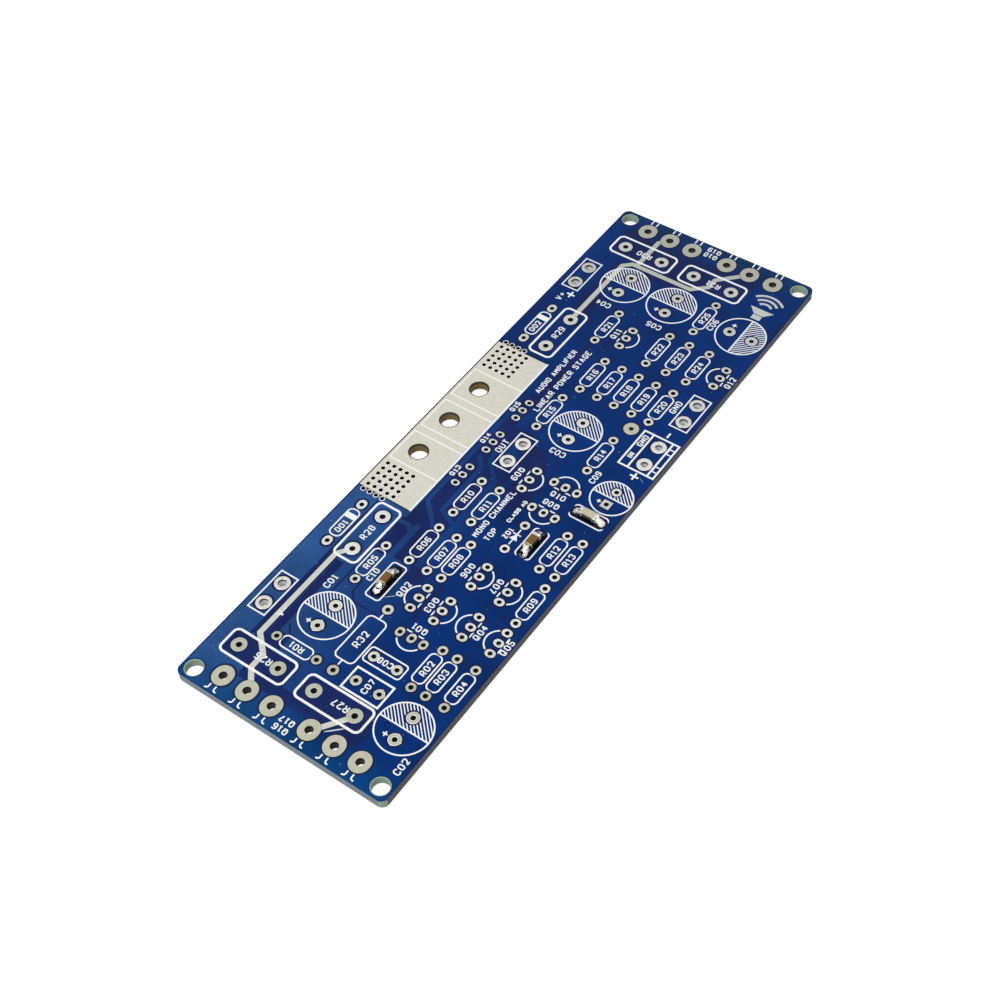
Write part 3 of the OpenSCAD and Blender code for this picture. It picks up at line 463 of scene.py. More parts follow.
@dataclass(frozen=True)
class SolderAlloy(Finish):
    """Tin-lead solder, hand soldered: a smooth wavy metal, bright but for streaks of painted dark reflection.
    """

    dark_reflection: str = "#15120d"
    wave_mm: float = 0.8
    wave_depth_mm: float = 0.16
    streak_mm: float = 0.9
    streak_curl: float = 0.8
    streak: Span = (0.53, 0.64)

    def wire(self, tree: Tree) -> dict[str, object]:
        """Waves the solder and streaks it with painted dark reflections.

        Args:
            tree: The node tree.

        Returns:
            The shader's inputs.
        """
        place = add_node(tree, "TexCoord").outputs["Object"]
        curls = {"Vector": place, "Scale": per_metre(self.streak_mm), "Detail": 2.0}
        streaks = add_node(tree, "TexNoise", curls | {"Distortion": self.streak_curl}).outputs["Fac"]
        ends = {"Value": streaks, "From Min": self.streak[0], "From Max": self.streak[1]}
        reflection_share = add_node(tree, "MapRange", ends).outputs["Result"]
        # Painted reflection: dark streaks stand in for the dark things that the mirror-like solder reflects.
        pair = {0: reflection_share, 6: to_linear(self.colour), 7: to_linear(self.dark_reflection)}
        face = add_node(tree, "Mix", pair, data_type="RGBA").outputs[2]
        swell = {"Vector": place, "Scale": per_metre(self.wave_mm), "Detail": 1.0}
        waves = add_node(tree, "TexNoise", swell).outputs["Fac"]
        relief = add_node(tree, "Bump", {"Height": waves, "Distance": self.wave_depth_mm * MM})
        return {"Base Color": face, "Normal": relief.outputs["Normal"], "Metallic": 1.0}


MASK = SolderMask("solder_mask_blue_epoxy", "#002c6b", 0.33)
# Milled and drilled with one cutter: dull, and brown where it ran hot.
LAMINATE = GlassEpoxy("glass_epoxy_laminate", "#857347", 0.7)
# Laminate at the bottom of a narrow gap in the film, which keeps the light out.
MOAT = FineGrain("bare_laminate_moat", "#05081a", 0.6, swing=(0.8, 1.2), specular=0.1)
# Rolled and etched foil, seen only at its edges.
COPPER = FineGrain("copper_foil", "#c07a52", 0.45, grain_mm=0.08, swing=(0.88, 1.06), metallic=1.0)
# Wide flat copper, which the air blade leaves even; narrow routes come out greyer.
TIN_LAND = HotTin("hot_tin_land", "#d6d4c7", 0.42)
TIN_TRACK = HotTin("hot_tin_track", "#cccdc2", 0.42, far_tint="#e2e7e8")
# Small pads, on which the tin draws itself round: brighter and more mottled.
TIN_PAD = HotTin(
    "hot_tin_pad", "#dbdedb", 0.36, mottle=(0.9, 1.06),
    near_tint="#d4d4c5", far_tint="#e5e6e3", far_mm=(-20.0, 62.0),
)
TIN_CUPPED = HotTin(
    "hot_tin_cupped_pad", "#eaebe6", 0.36, mottle=(0.88, 1.06), crest_reflection="#d9dbd9",
    near_tint="#e7e7dd", near_mm=(-46.0, -56.0), far_tint="#e9e9ec", far_mm=(20.0, 50.0),
)
# Narrow vias, whose holes are painted near black with shade.
TIN_VIA = HotTin("hot_tin_via", "#e4e2d8", 0.36, mouth="#050403", barrel="#0d0a07")
# Wide pads, whose holes are painted dark with shade at the mouth and grey-violet deeper down.
TIN_WIDE_PAD = HotTin(
    "hot_tin_wide_pad", "#bbbba9", 0.36, mottle=(0.9, 1.08), far_tint="#eeeff7",
    mouth="#0b0909", barrel="#6f666a", fall_mm=(0.9, 1.9),
)
# Holes so wide that light reaches the tin all the way down them.
TIN_TERMINAL = HotTin(
    "hot_tin_terminal", "#e6e6e2", 0.3, near_tint="#eeeeec", far_tint="#d3d5dc", far_mm=(5.0, 48.0),
    mouth="#3a3530", barrel="#f8f8f6", rim_mm=(2.0, 2.05), fall_mm=(1.2, 1.8),
)
TIN_LOBE = HotTin("hot_tin_lobe", "#cfcfc4", 0.36, mottle=(0.9, 1.06), rim_mm=(1.0, 1.1))
# Barrel-plated tin over nickel, dulled by the soldering.
END_CAP = HotTin("plated_end_cap", "#c9c4b0", 0.3)
# Epoxy ink pushed through a screen and cured: matt, and a little uneven where the mesh was.
INK = FineGrain("white_legend_ink", "#fbfdfc", 0.6, grain_mm=0.16, swing=(0.92, 1.0), specular=0.2)
# Cloth fibre and cut glass, with one painted glint: dull and pale.
LINT_AND_GLINT = FineGrain("white_lint_and_glint", "#c3cbd8", 0.8, grain_mm=0.05)
# Barium titanate fired in a kiln, brown or cream by its mix: matt like a biscuit.
BROWN_CHIP = ChipCeramic("brown_chip_ceramic", "#77582c", 0.5, swing=(0.8, 1.15), specular=0.2)
PALE_CHIP = ChipCeramic("pale_chip_ceramic", "#cbc5aa", 0.5, swing=(0.8, 1.15), specular=0.2, side_shade="#4c4334")
# The same wire on three joints, each with its own share of painted dark reflections.
SOLDER = SolderAlloy("tin_lead_solder", "#dedbd0", 0.16, streak=(0.49, 0.57))
PATCHY_SOLDER = SolderAlloy("patchy_tin_lead_solder", "#dedbd0", 0.16, streak_mm=1.3, streak=(0.5, 0.58))
SHINY_SOLDER = SolderAlloy("bright_tin_lead_solder", "#e9e6dc", 0.2, streak=(0.52, 0.62))
# A thin dark glossy sheet, uneven in tone.
DARK_PATCH = FineGrain("dark_glossy_patch", "#07060f", 0.3, grain_mm=0.7, swing=(0.5, 1.6), specular=0.07)

TRACKS = ("negative_track", "positive_track", "emitter_track")
SMALL_PADS = (
    "emitter_resistor_pads", "resistor_pads", "load_resistor_pads", "diode_pads", "zener_pads",
    "small_transistor_pads", "driver_transistor_pads",
)
CUPPED_PADS = ("electrolytic_pads", "film_capacitor_pads")
NODE_FINISHES: dict[Finish, tuple[str, ...]] = {
    LAMINATE: ("laminate",),
    COPPER: ("top_foil", "bottom_foil"),
    MASK: ("top_mask", "bottom_mask"),
    TIN_LAND: ("heat_spreader",),
    TIN_TRACK: TRACKS,
    TIN_VIA: ("thermal_vias",),
    TIN_PAD: (*SMALL_PADS, "chip_capacitor_pads"),
    TIN_CUPPED: CUPPED_PADS,
    TIN_WIDE_PAD: ("power_transistor_pads", "test_pad"),
    TIN_TERMINAL: ("terminal_pads",),
    INK: (
        "resistor_legend", "emitter_resistor_legend", "small_transistor_legend", "power_leg_legend",
        "electrolytic_legend", "film_capacitor_legend", "chip_capacitor_legend", "diode_legend",
        "terminal_legend", "heat_spreader_legend",
    ),
    BROWN_CHIP: ("chip_1_body", "chip_2_body"),
    PALE_CHIP: ("chip_3_body",),
    END_CAP: ("chip_1_end_caps", "chip_2_end_caps", "chip_3_end_caps"),
    SOLDER: ("chip_1_solder",),
    PATCHY_SOLDER: ("chip_2_solder",),
    SHINY_SOLDER: ("chip_3_solder",),
}


class Wardrobe:
    """Makes each finish's material once and hands it out."""

    def __init__(self) -> None:
        """Starts with no material made."""
        self.made: dict[Finish, bpy.types.Material] = {}

    def dress(self, piece: bpy.types.Object, finish: Finish) -> None:
        """Gives every slot of a piece one finish.

        Args:
            piece: The object.
            finish: Its finish.
        """
        if finish not in self.made:
            self.made[finish] = finish.material()
        if not piece.data.materials:
            piece.data.materials.append(None)
        for slot in piece.material_slots:
            slot.material = self.made[finish]


def thicken(shape: Shape, rise: float) -> None:
    """Gives flat faces a thickness upwards and turns all faces outwards.

    Args:
        shape: The flat faces.
        rise: The thickness.
    """
    solid = bmesh.ops.extrude_face_region(shape, geom=shape.faces[:])
    lifted = [v for v in solid["geom"] if isinstance(v, bmesh.types.BMVert)]
    bmesh.ops.translate(shape, verts=lifted, vec=(0, 0, rise))
    bmesh.ops.recalc_face_normals(shape, faces=shape.faces[:])


def meshed(shape: Shape, place: Matrix = TO_METRES) -> bpy.types.Mesh:
    """Ends the work on a bmesh.

    Args:
        shape: The bmesh, which is freed.
        place: What puts it in its place, in metres.

    Returns:
        The mesh.
    """
    mesh = bpy.data.meshes.new("mesh")
    shape.to_mesh(mesh)
    shape.free()
    mesh.transform(place)
    return mesh


def split(shape: Shape) -> list[list[bmesh.types.BMVert]]:
    """Parts a mesh into its separate solids.

    Args:
        shape: The mesh.

    Returns:
        The vertices of each solid.
    """
    seen = set()
    solids = []
    for first in shape.verts:
        if first in seen:
            continue
        seen.add(first)
        solid = [first]
        for vert in solid:
            linked = [edge.other_vert(vert) for edge in vert.link_edges]
            fresh = [other for other in linked if other not in seen]
            seen.update(fresh)
            solid.extend(fresh)
        solids.append(solid)
    return solids


@dataclass
class Trim:
    """What is printed, soldered or left on the board: each kind of it is a class that builds itself."""

    wardrobe: Wardrobe
    nodes: dict[str, bpy.types.Object]

    def build(self) -> None:
        """Makes the pieces."""
        raise NotImplementedError

    def copied(self, name: str) -> Shape:
        """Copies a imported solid's mesh and merges its doubled points.

        Args:
            name: The solid's name.

        Returns:
            The copy, in metres.
        """
        copy = bmesh.new()
        copy.from_mesh(self.nodes[name].data)
        bmesh.ops.remove_doubles(copy, verts=copy.verts[:], dist=WELD_MM * MM)
        return copy

    def add(self, name: str, mesh: bpy.types.Mesh, slot: str, finish: Finish) -> bpy.types.Object:
        """Puts a mesh in the scene as a dressed piece of the board.

        Args:
            name: The piece's name.
            mesh: Its mesh, already in place.
            slot: The name of a material slot in the record; not used.
            finish: Its finish.

        Returns:
            The new object.
        """
        mesh.name = name
        piece = bpy.data.objects.new(name, mesh)
        bpy.context.scene.collection.objects.link(piece)
        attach(piece, BODY)
        self.wardrobe.dress(piece, finish)
        LOG.info("%s: %d faces", name, len(mesh.polygons))
        return piece


class Turn(Enum):
    """The four ways in which a printed word stands on the board, in degrees."""

    UPRIGHT = 0
    UP_THE_BOARD = 90
    INVERTED = 180
    DOWN_THE_BOARD = -90


@dataclass(frozen=True)
class Word:
    """One printed word: what it says, where its middle is, how it stands and how tall its capitals are."""

    text: str
    x: float
    y: float
    turn: Turn = Turn.UPRIGHT
    height: float = 1.3


def row(prefix: str, first: int, places: list[tuple], height: float = 1.3) -> list[Word]:
    """Numbers a list of places.

    Args:
        prefix: The letter before the number.
        first: The first number.
        places: Each place as x, y and, where it isn't upright, its turn.
        height: The capitals' height.

    Returns:
        One word for each place.
    """
    return [Word(f"{prefix}{first + i:02d}", *place, height=height) for i, place in enumerate(places)]


UP, INV, UPB, DOWNB = Turn.UPRIGHT, Turn.INVERTED, Turn.UP_THE_BOARD, Turn.DOWN_THE_BOARD
RESISTORS = [
    (-56.3, 8.4, UPB), (-47.1, -13.0), (-47.1, -16.1), (-47.2, -20.1), (-34.5, 9.3), (-25.8, 3.8),
    (-25.9, -0.3), (-25.8, -3.4), (-26.4, -20.1), (-12.5, 3.8), (-12.5, -0.3), (-14.4, -16.8),
    (-14.4, -20.1), (9.6, -11.1), (13.5, 3.2), (26.3, 1.7), (26.3, -2.3), (26.3, -6.2), (26.3, -10.2),
    (26.3, -14.1), (39.2, 6.7), (39.3, -5.3), (39.3, -9.9), (39.3, -14.5), (52.0, -8.5),
]
EMITTER_RESISTORS = [
    (-61.3, 11.6, UPB), (-61.2, -5.4, UPB), (-29.5, 14.0), (32.4, 14.0), (61.4, 11.8, UPB), (61.4, -4.9, UPB),
]
SMALL_TRANSISTORS = [
    (-41.3, -7.0, UPB), (-36.0, 0.6), (-36.0, -5.6, INV), (-36.0, -16.2), (-36.0, -21.9), (-26.3, -6.4, INV),
    (-26.3, -12.7, INV), (-5.4, -10.1, UPB), (-2.8, -0.8, INV), (-3.1, -10.1, DOWNB), (38.5, 4.1),
    (39.2, -21.9),
]
DRIVERS = [(-8.6, 9.55), (1.2, 9.55), (11.0, 9.55)]
POWER_TRANSISTORS = [(-70.4, 0.1, UPB), (-68.6, 0.1, UPB), (68.7, 0.1, UPB), (70.4, 0.1, UPB)]
ELECTROLYTICS = [
    (-41.9, 12.6), (-64.7, -21.1), (5.7, -4.0, UPB), (44.4, 11.0, UPB), (44.6, -1.0, UPB), (51.3, -10.8),
]
FILMS = [(-55.6, -6.9), (-50.2, -6.4, UPB), (4.5, -13.3), (-36.5, 7.2)]
DIODES = [(-31.0, 19.0), (31.4, 19.0)]


# Pen strokes of each character on a grid of 6 by 9: each point is two digits. The pen rounds every
# corner within a stroke, a sharp corner starts a new one, and a stroke that ends where it began is a loop.
PEN_STROKES = {
    "0": "00 60 69 09 00", "1": "17 39/39 30/10 50", "2": "07 09 69 65 32/32 00/00 60",
    "3": "07 09 69 65 15/15 65 60 00 02", "4": "40 49/49 03/03 63", "5": "69 09/09 05/05 65 60 00 02",
    "6": "68 69 09 00 60 65 05", "7": "09 69/69 20", "8": "05 65 69 09 05/05 65 60 00 05",
    "9": "01 00 60 69 09 04 64", "A": "00 39/39 60/13 53", "B": "00 09/09 59 55 05/05 65 60 00",
    "C": "67 69 09 00 60 62", "D": "09 69 60 00/00 09", "E": "69 09/09 00/00 60/05 45",
    "F": "69 09/09 00/05 45", "G": "67 69 09 00 60 64/64 34", "H": "00 09/60 69/05 65", "I": "39 30",
    "L": "09 00/00 60", "M": "00 09/09 34/34 69/69 60", "N": "00 09/09 60/60 69",
    "O": "00 60 69 09 00", "P": "00 09/09 69 64 04", "Q": "00 60 69 09 00/33 70",
    "R": "00 09/09 69 64 04/34 60", "S": "67 69 09 05 65 60 00 02", "T": "09 69/39 30",
    "U": "09 00 60 69", "V": "09 30/30 69", "W": "09 10/10 37/37 50/50 69", "Z": "09 69/69 00/00 60",
    "+": "32 38/05 65", "-": "05 65",
}


# Words that don't belong to a numbered place: what each says, its middle and its capitals' height.
PLAIN_WORDS = [
    ("Z01", -15.4, -7.4, 1.2), ("V+", 41.5, 19.6, 1.55), ("V-", -51.7, 15.4, 1.45), ("OUT", 1.3, 5.7, 1.5),
    ("GND", 27.9, -16.5, 1.45), ("IN", 12.9, -15.8, 1.3), ("GND", 17.1, -15.8, 1.3),
    ("AUDIO AMPLIFIER", 23.2, 8.2, 1.3), ("LINEAR POWER STAGE", 21.8, 5.7, 1.4),
    ("MONO CHANNEL", -13.0, -2.7, 1.35), ("TOP", -17.4, -5.0, 1.35), ("CLASS AB", -10.3, -5.9, 0.95),
]


@dataclass
class Lettering(Trim):
    """The printed words, all of them reference numbers and plain words for what a terminal is.

    A pen of one width draws them, as on the films that such a legend is screened from, and the ink
    stands on the mask as a low bead.
    """

    ink_mm: float = 0.03
    pen_mm: float = 0.29
    glyph_gap: float = 0.33
    glyph_width: float = 0.49
    grid: tuple[int, int] = (6, 9)
    blank: tuple[int, int] = (0, 3)
    corner: float = 3.0
    corner_steps: int = 3
    bead_steps: int = 1

    def families(self) -> dict[str, list[Word]]:
        """Lists every word of the board by family.

        Returns:
            The words of each family, by the name of its piece.
        """
        load = Word("R32", -48.7, 0.2, UP, 1.55)
        resistors = row("R", 1, RESISTORS, 1.4) + row("R", 26, EMITTER_RESISTORS, 1.5) + [load]
        transistors = row("Q", 1, SMALL_TRANSISTORS, 1.4) + row("Q", 13, DRIVERS, 1.2)
        others = row("C", 1, ELECTROLYTICS, 1.45) + row("C", 7, FILMS, 1.35) + row("D", 1, DIODES, 1.35)
        return {
            "resistor_names": resistors,
            "transistor_names": transistors + row("Q", 16, POWER_TRANSISTORS, 1.35),
            "other_names": others + [Word(text, x, y, UP, tall) for text, x, y, tall in PLAIN_WORDS],
        }

    def rounded(self, points: list[Vector], closed: bool, reach: float) -> list[Vector]:
        """Rounds the corners of one stroke.

        Args:
            points: The stroke's corners.
            closed: Whether it is a loop.
            reach: How far from a corner the rounding starts at most.

        Returns:
            The points of the rounded stroke.
        """
        drawn = []
        for i, corner in enumerate(points):
            if not closed and i in (0, len(points) - 1):
                drawn.append(corner)
                continue
            ends = []
            for other in (points[i - 1], points[(i + 1) % len(points)]):
                leg = other - corner
                ends.append(corner + leg.normalized() * min(reach, leg.length / 2))
            for k in range(self.corner_steps + 1):
                share = k / self.corner_steps
                drawn.append(ends[0].lerp(corner, share).lerp(corner.lerp(ends[1], share), share))
        return drawn

    def write(self, curve: bpy.types.Curve, word: Word) -> None:
        """Adds the pen strokes of one word, in place on the board.

        Args:
            curve: The curve that holds the strokes, in millimetres.
            word: The word.
        """
        rise = (word.height - self.pen_mm) / self.grid[1]
        run = word.height * self.glyph_width / self.grid[0]
        turn = Matrix.Rotation(math.radians(word.turn.value), 4, "Z")
        place = Matrix.Translation((word.x, word.y, 0)) @ turn
        shapes = [PEN_STROKES.get(letter, "") for letter in word.text]
        columns = [[int(p[0]) for p in shape.replace("/", " ").split()] or self.blank for shape in shapes]
        widths = [(max(column) - min(column)) * run for column in columns]
        gap = word.height * self.glyph_gap
        half = self.grid[1] / 2
        left = -(sum(widths) + gap * (len(widths) - 1)) / 2
        for shape, column, width in zip(shapes, columns, widths):
            for stroke in filter(None, shape.split("/")):
                points = [
                    place @ Vector((left + (int(x) - min(column)) * run, (int(y) - half) * rise, 0))
                    for x, y in stroke.split()
                ]
                closed = stroke[:2] == stroke[-2:]
                drawn = self.rounded(points[:-1] if closed else points, closed, self.corner * run)
                spline = curve.splines.new("POLY")
                spline.points.add(len(drawn) - 1)
                spline.points.foreach_set("co", [value for point in drawn for value in (*point, 1)])
                spline.use_cyclic_u = closed
            left += width + gap

    def build(self) -> None:
        """Draws every family of words as one printed piece."""
        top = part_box("top_mask")[1].z
        for name, words in self.families().items():
            curve = bpy.data.curves.new(name, "CURVE")
            curve.dimensions = "3D"
            curve.bevel_depth = self.pen_mm / 2
            curve.bevel_resolution = self.bead_steps
            curve.use_fill_caps = True
            for word in words:
                self.write(curve, word)
            holder = bpy.data.objects.new(name, curve)
            bpy.context.scene.collection.objects.link(holder)
            bpy.context.view_layer.update()
            drawn = holder.evaluated_get(bpy.context.evaluated_depsgraph_get())
            mesh = bpy.data.meshes.new_from_object(drawn)
            bpy.data.objects.remove(holder)
            mesh.transform(Matrix.Diagonal((MM, MM, MM * self.ink_mm / self.pen_mm, 1)))
            mesh.transform(Matrix.Translation((0, 0, top + self.ink_mm * MM / 2)))
            self.add(name, mesh, "legend_ink", INK)


@dataclass
class PadMoats(Trim):
    """The narrow moat round each pad, where the film is kept back: bare laminate, near black with painted
    shade.

    Each moat is its pad's own outline grown outwards and pressed flat at the film's level.
    """

    width_mm: float = 0.13
    level_mm: Span = (2.012, 2.043)
    pads: tuple[str, ...] = (*SMALL_PADS, *CUPPED_PADS, "test_pad", "terminal_pads", "power_transistor_pads")

    def build(self) -> None:
        """Makes the moats of each family of pads."""
        for name in self.pads:
            moats = self.copied(name)
            for pad in split(moats):
                self.grow(pad)
            bmesh.ops.recalc_face_normals(moats, faces=moats.faces[:])
            self.add(f"{name}_moats", meshed(moats, AS_IT_IS), "glass_epoxy", MOAT)

    def grow(self, solid: list[bmesh.types.BMVert]) -> None:
        """Grows one pad's outline by the moat's width and presses it flat.

        Args:
            solid: The vertices of the pad.
        """
        low = [min(v.co[i] for v in solid) for i in (0, 1)]
        high = [max(v.co[i] for v in solid) for i in (0, 1)]
        middle = [(a + b) / 2 for a, b in zip(low, high)]
        gain = [1 + 2 * self.width_mm * MM / (b - a) for a, b in zip(low, high)]
        bottom, top = (level * MM for level in self.level_mm)
        for vert in solid:
            for i in (0, 1):
                vert.co[i] = middle[i] + (vert.co[i] - middle[i]) * gain[i]
            vert.co.z = top if vert.co.z > bottom else bottom


@dataclass
class StripMoat(Trim):
    """The bare laminate round the tinned strip, painted near black with shade, running on one side to the
    edge.
    """

    x: Span = (-21.2, 23.8)
    y: Span = (10.65, 22.65)
    width_mm: float = 0.17
    level_mm: Span = (2.012, 2.043)

    def build(self) -> None:
        """Insets a sheet into a frame and gives it its thickness."""
        frame = bmesh.new()
        bmesh.ops.create_grid(frame, x_segments=1, y_segments=1, size=0.5)
        long, wide = (b - a + 2 * self.width_mm for a, b in (self.x, self.y))
        bmesh.ops.scale(frame, verts=frame.verts[:], vec=(long, wide, 1))
        middle = (sum(self.x) / 2, sum(self.y) / 2, self.level_mm[0])
        bmesh.ops.translate(frame, verts=frame.verts[:], vec=middle)
        sheet = frame.faces[:]
        bmesh.ops.inset_individual(frame, faces=sheet, thickness=2 * self.width_mm)
        bmesh.ops.delete(frame, geom=sheet, context="FACES")
        thicken(frame, self.level_mm[1] - self.level_mm[0])
        self.add("strip_moat", meshed(frame), "glass_epoxy", MOAT)


@dataclass
class ViaMouthShades(Trim):
    """A dark ring of painted shade round the mouth of each small via, widening the dark of its hole."""

    width_mm: float = 0.07
    height_mm: float = 0.004
    sides: int = 16

    def build(self) -> None:
        """Makes one ring for each via."""
        barrels = self.copied("thermal_vias")
        rings = bmesh.new()
        for via in split(barrels):
            box = [(min(v.co[i] for v in via), max(v.co[i] for v in via)) for i in range(3)]
            middle = Vector((sum(box[0]) / 2, sum(box[1]) / 2, box[2][1]))
            self.ring(rings, middle, min((v.co.xy - middle.xy).length for v in via))
        barrels.free()
        bmesh.ops.recalc_face_normals(rings, faces=rings.faces[:])
        self.add("via_mouth_shades", meshed(rings, AS_IT_IS), "glass_epoxy", MOAT)

    def ring(self, rings: Shape, middle: Vector, bore: float) -> None:
        """Spins one small square section round a via's axis.

        Args:
            rings: The bmesh.
            middle: The middle of the via's mouth, in metres.
            bore: The radius of its hole, in metres.
        """
        outer, rise = bore + self.width_mm * MM, self.height_mm * MM
        corners = [(bore, -rise), (outer, -rise), (outer, rise), (bore, rise)]
        section = [rings.verts.new(middle + Vector((r, 0, z))) for r, z in corners]
        edges = [rings.edges.new((section[i - 1], section[i])) for i in range(4)]
        bmesh.ops.spin(
            rings, geom=[*section, *edges], cent=middle, axis=(0, 0, 1), angle=math.tau,
            steps=self.sides, use_merge=True,
        )


@dataclass
class TinBeads(Trim):
    """The tin of the bare routes, which stands a little proud and laps onto the pads that they join."""

    rise_mm: float = 0.008

    def build(self) -> None:
        """Copies each route and raises its top."""
        for name in TRACKS:
            mesh = self.nodes[name].data.copy()
            mesh.materials.clear()
            middle = sum(v.co.z for v in mesh.vertices) / len(mesh.vertices)
            for vert in mesh.vertices:
                vert.co.z += self.rise_mm * MM * (vert.co.z > middle)
            self.add(f"{name}_bead", mesh, "tinned_copper", TIN_TRACK)


@dataclass
class TinLobes(Trim):
    """The small square-shouldered runs of tin that a few pads have round their rims.

    Each place is its x, its y and how far the run reaches.
    """

    places: tuple[Place, ...] = (
        (-50.65, 8.4, 1.5), (-61.25, -17.05, 1.44), (-55.75, -9.45, 1.21),
        (25.4, -19.7, 1.78), (30.5, -19.7, 1.76), (21.8, -14.1, 1.14),
    )
    level_mm: Span = (2.01, 2.06)
    shoulder: float = 0.22
    shoulder_steps: int = 3
    rim_mm: float = 0.3

    def build(self) -> None:
        """Bevels a small upright plate for each run and leaves its rim."""
        lobes = bmesh.new()
        for x, y, reach in self.places:
            made = bmesh.ops.create_circle(lobes, cap_ends=True, segments=4, radius=reach)["verts"]
            bmesh.ops.bevel(
                lobes, geom=made, offset=self.shoulder * reach, segments=self.shoulder_steps,
                profile=0.5, affect="VERTICES", material=-1,
            )
            new = [v for v in lobes.verts if v.co.z == 0]
            bmesh.ops.translate(lobes, verts=new, vec=(x, y, self.level_mm[0]))
        plates = lobes.faces[:]
        bmesh.ops.inset_individual(lobes, faces=plates, thickness=self.rim_mm)
        bmesh.ops.delete(lobes, geom=plates, context="FACES")
        thicken(lobes, self.level_mm[1] - self.level_mm[0])
        self.add("tin_lobes", meshed(lobes), "tinned_pad", TIN_LOBE)


@dataclass
class DarkChipPatches(Trim):
    """The dark glossy patches that lie on the film round the soldered chips.

    Each place is its x, its y, its turn and its length.
    """

    places: tuple[tuple[float, float, Turn, float], ...] = (
        (-36.35, 4.25, UP, 7.7), (-14.95, -12.55, UP, 6.7), (-4.15, -17.55, UPB, 6.7),
    )
    width_mm: float = 2.55
    corner_mm: float = 1.0
    corner_steps: int = 4
    level_mm: Span = (2.012, 2.047)
    creep_mm: float = 0.08
    seed: int = 5

    def build(self) -> None:
        """Bevels a sheet for each patch, frays its outline and gives it its thickness."""
        chance = random.Random(self.seed)
        patches = bmesh.new()
        for x, y, turn, length in self.places:
            old = set(patches.verts)
            sheet = bmesh.ops.create_grid(patches, x_segments=1, y_segments=1, size=0.5)["verts"]
            bmesh.ops.scale(patches, verts=sheet, vec=(length, self.width_mm, 1))
            bmesh.ops.bevel(
                patches, geom=sheet, offset=self.corner_mm, segments=self.corner_steps,
                profile=0.5, affect="VERTICES", material=-1,
            )
            new = [v for v in patches.verts if v not in old]
            for vert in new:
                vert.co.xy += Vector((chance.gauss(0, self.creep_mm), chance.gauss(0, self.creep_mm)))
            turned = Matrix.Rotation(math.radians(turn.value), 4, "Z")
            place = Matrix.Translation((x, y, self.level_mm[0])) @ turned
            bmesh.ops.transform(patches, verts=new, matrix=place)
        thicken(patches, self.level_mm[1] - self.level_mm[0])
        self.add("dark_chip_patches", meshed(patches), "solder_mask", DARK_PATCH)


@dataclass
class LintAndGlint(Trim):
    """Specks of white dust and cut glass that lie about on the film, a few fine hair lines and one painted
    glint.

    Each line is its x, its y, its angle in degrees, half its length and half its width; the first is a
    painted glint, a highlight laid beside the emitter track.
    """

    hairs_and_glint: tuple[tuple[float, float, float, float, float], ...] = (
        # A painted glint: a highlight laid on as a pale line beside the emitter track.
        (-65.45, -7.6, -46.0, 1.9, 0.16),
        (-38.45, 1.5, -47.0, 1.3, 0.06),
        (8.6, -20.9, 60.0, 0.7, 0.035),
    )
    line_flatness: float = 0.5
    count: int = 90
    size_mm: Span = (0.03, 0.075)
    slenderness: Span = (1.0, 2.2)
    flatness: float = 0.3
    half_mm: Span = (70.0, 21.5)
    seed: int = 11

    def build(self) -> None:
        """Scatters the specks and lays the fine lines."""
        chance = random.Random(self.seed)
        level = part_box("top_mask")[1].z / MM
        dust = bmesh.new()
        for _ in range(self.count):
            place = Matrix.Translation((*(chance.uniform(-h, h) for h in self.half_mm), level))
            turn = Matrix.Rotation(chance.uniform(0, math.pi), 4, "Z")
            stretch = Matrix.Diagonal((chance.uniform(*self.slenderness), 1, self.flatness, 1))
            size = chance.uniform(*self.size_mm)
            bmesh.ops.create_icosphere(dust, subdivisions=1, radius=size, matrix=place @ turn @ stretch)
        for x, y, degrees, half, thick in self.hairs_and_glint:
            place = Matrix.Translation((x, y, level)) @ Matrix.Rotation(math.radians(degrees), 4, "Z")
            stretch = Matrix.Diagonal((half / thick, 1, self.line_flatness, 1))
            bmesh.ops.create_icosphere(dust, subdivisions=2, radius=thick, matrix=place @ stretch)
        self.add("lint_and_glint", meshed(dust), "legend_ink", LINT_AND_GLINT)


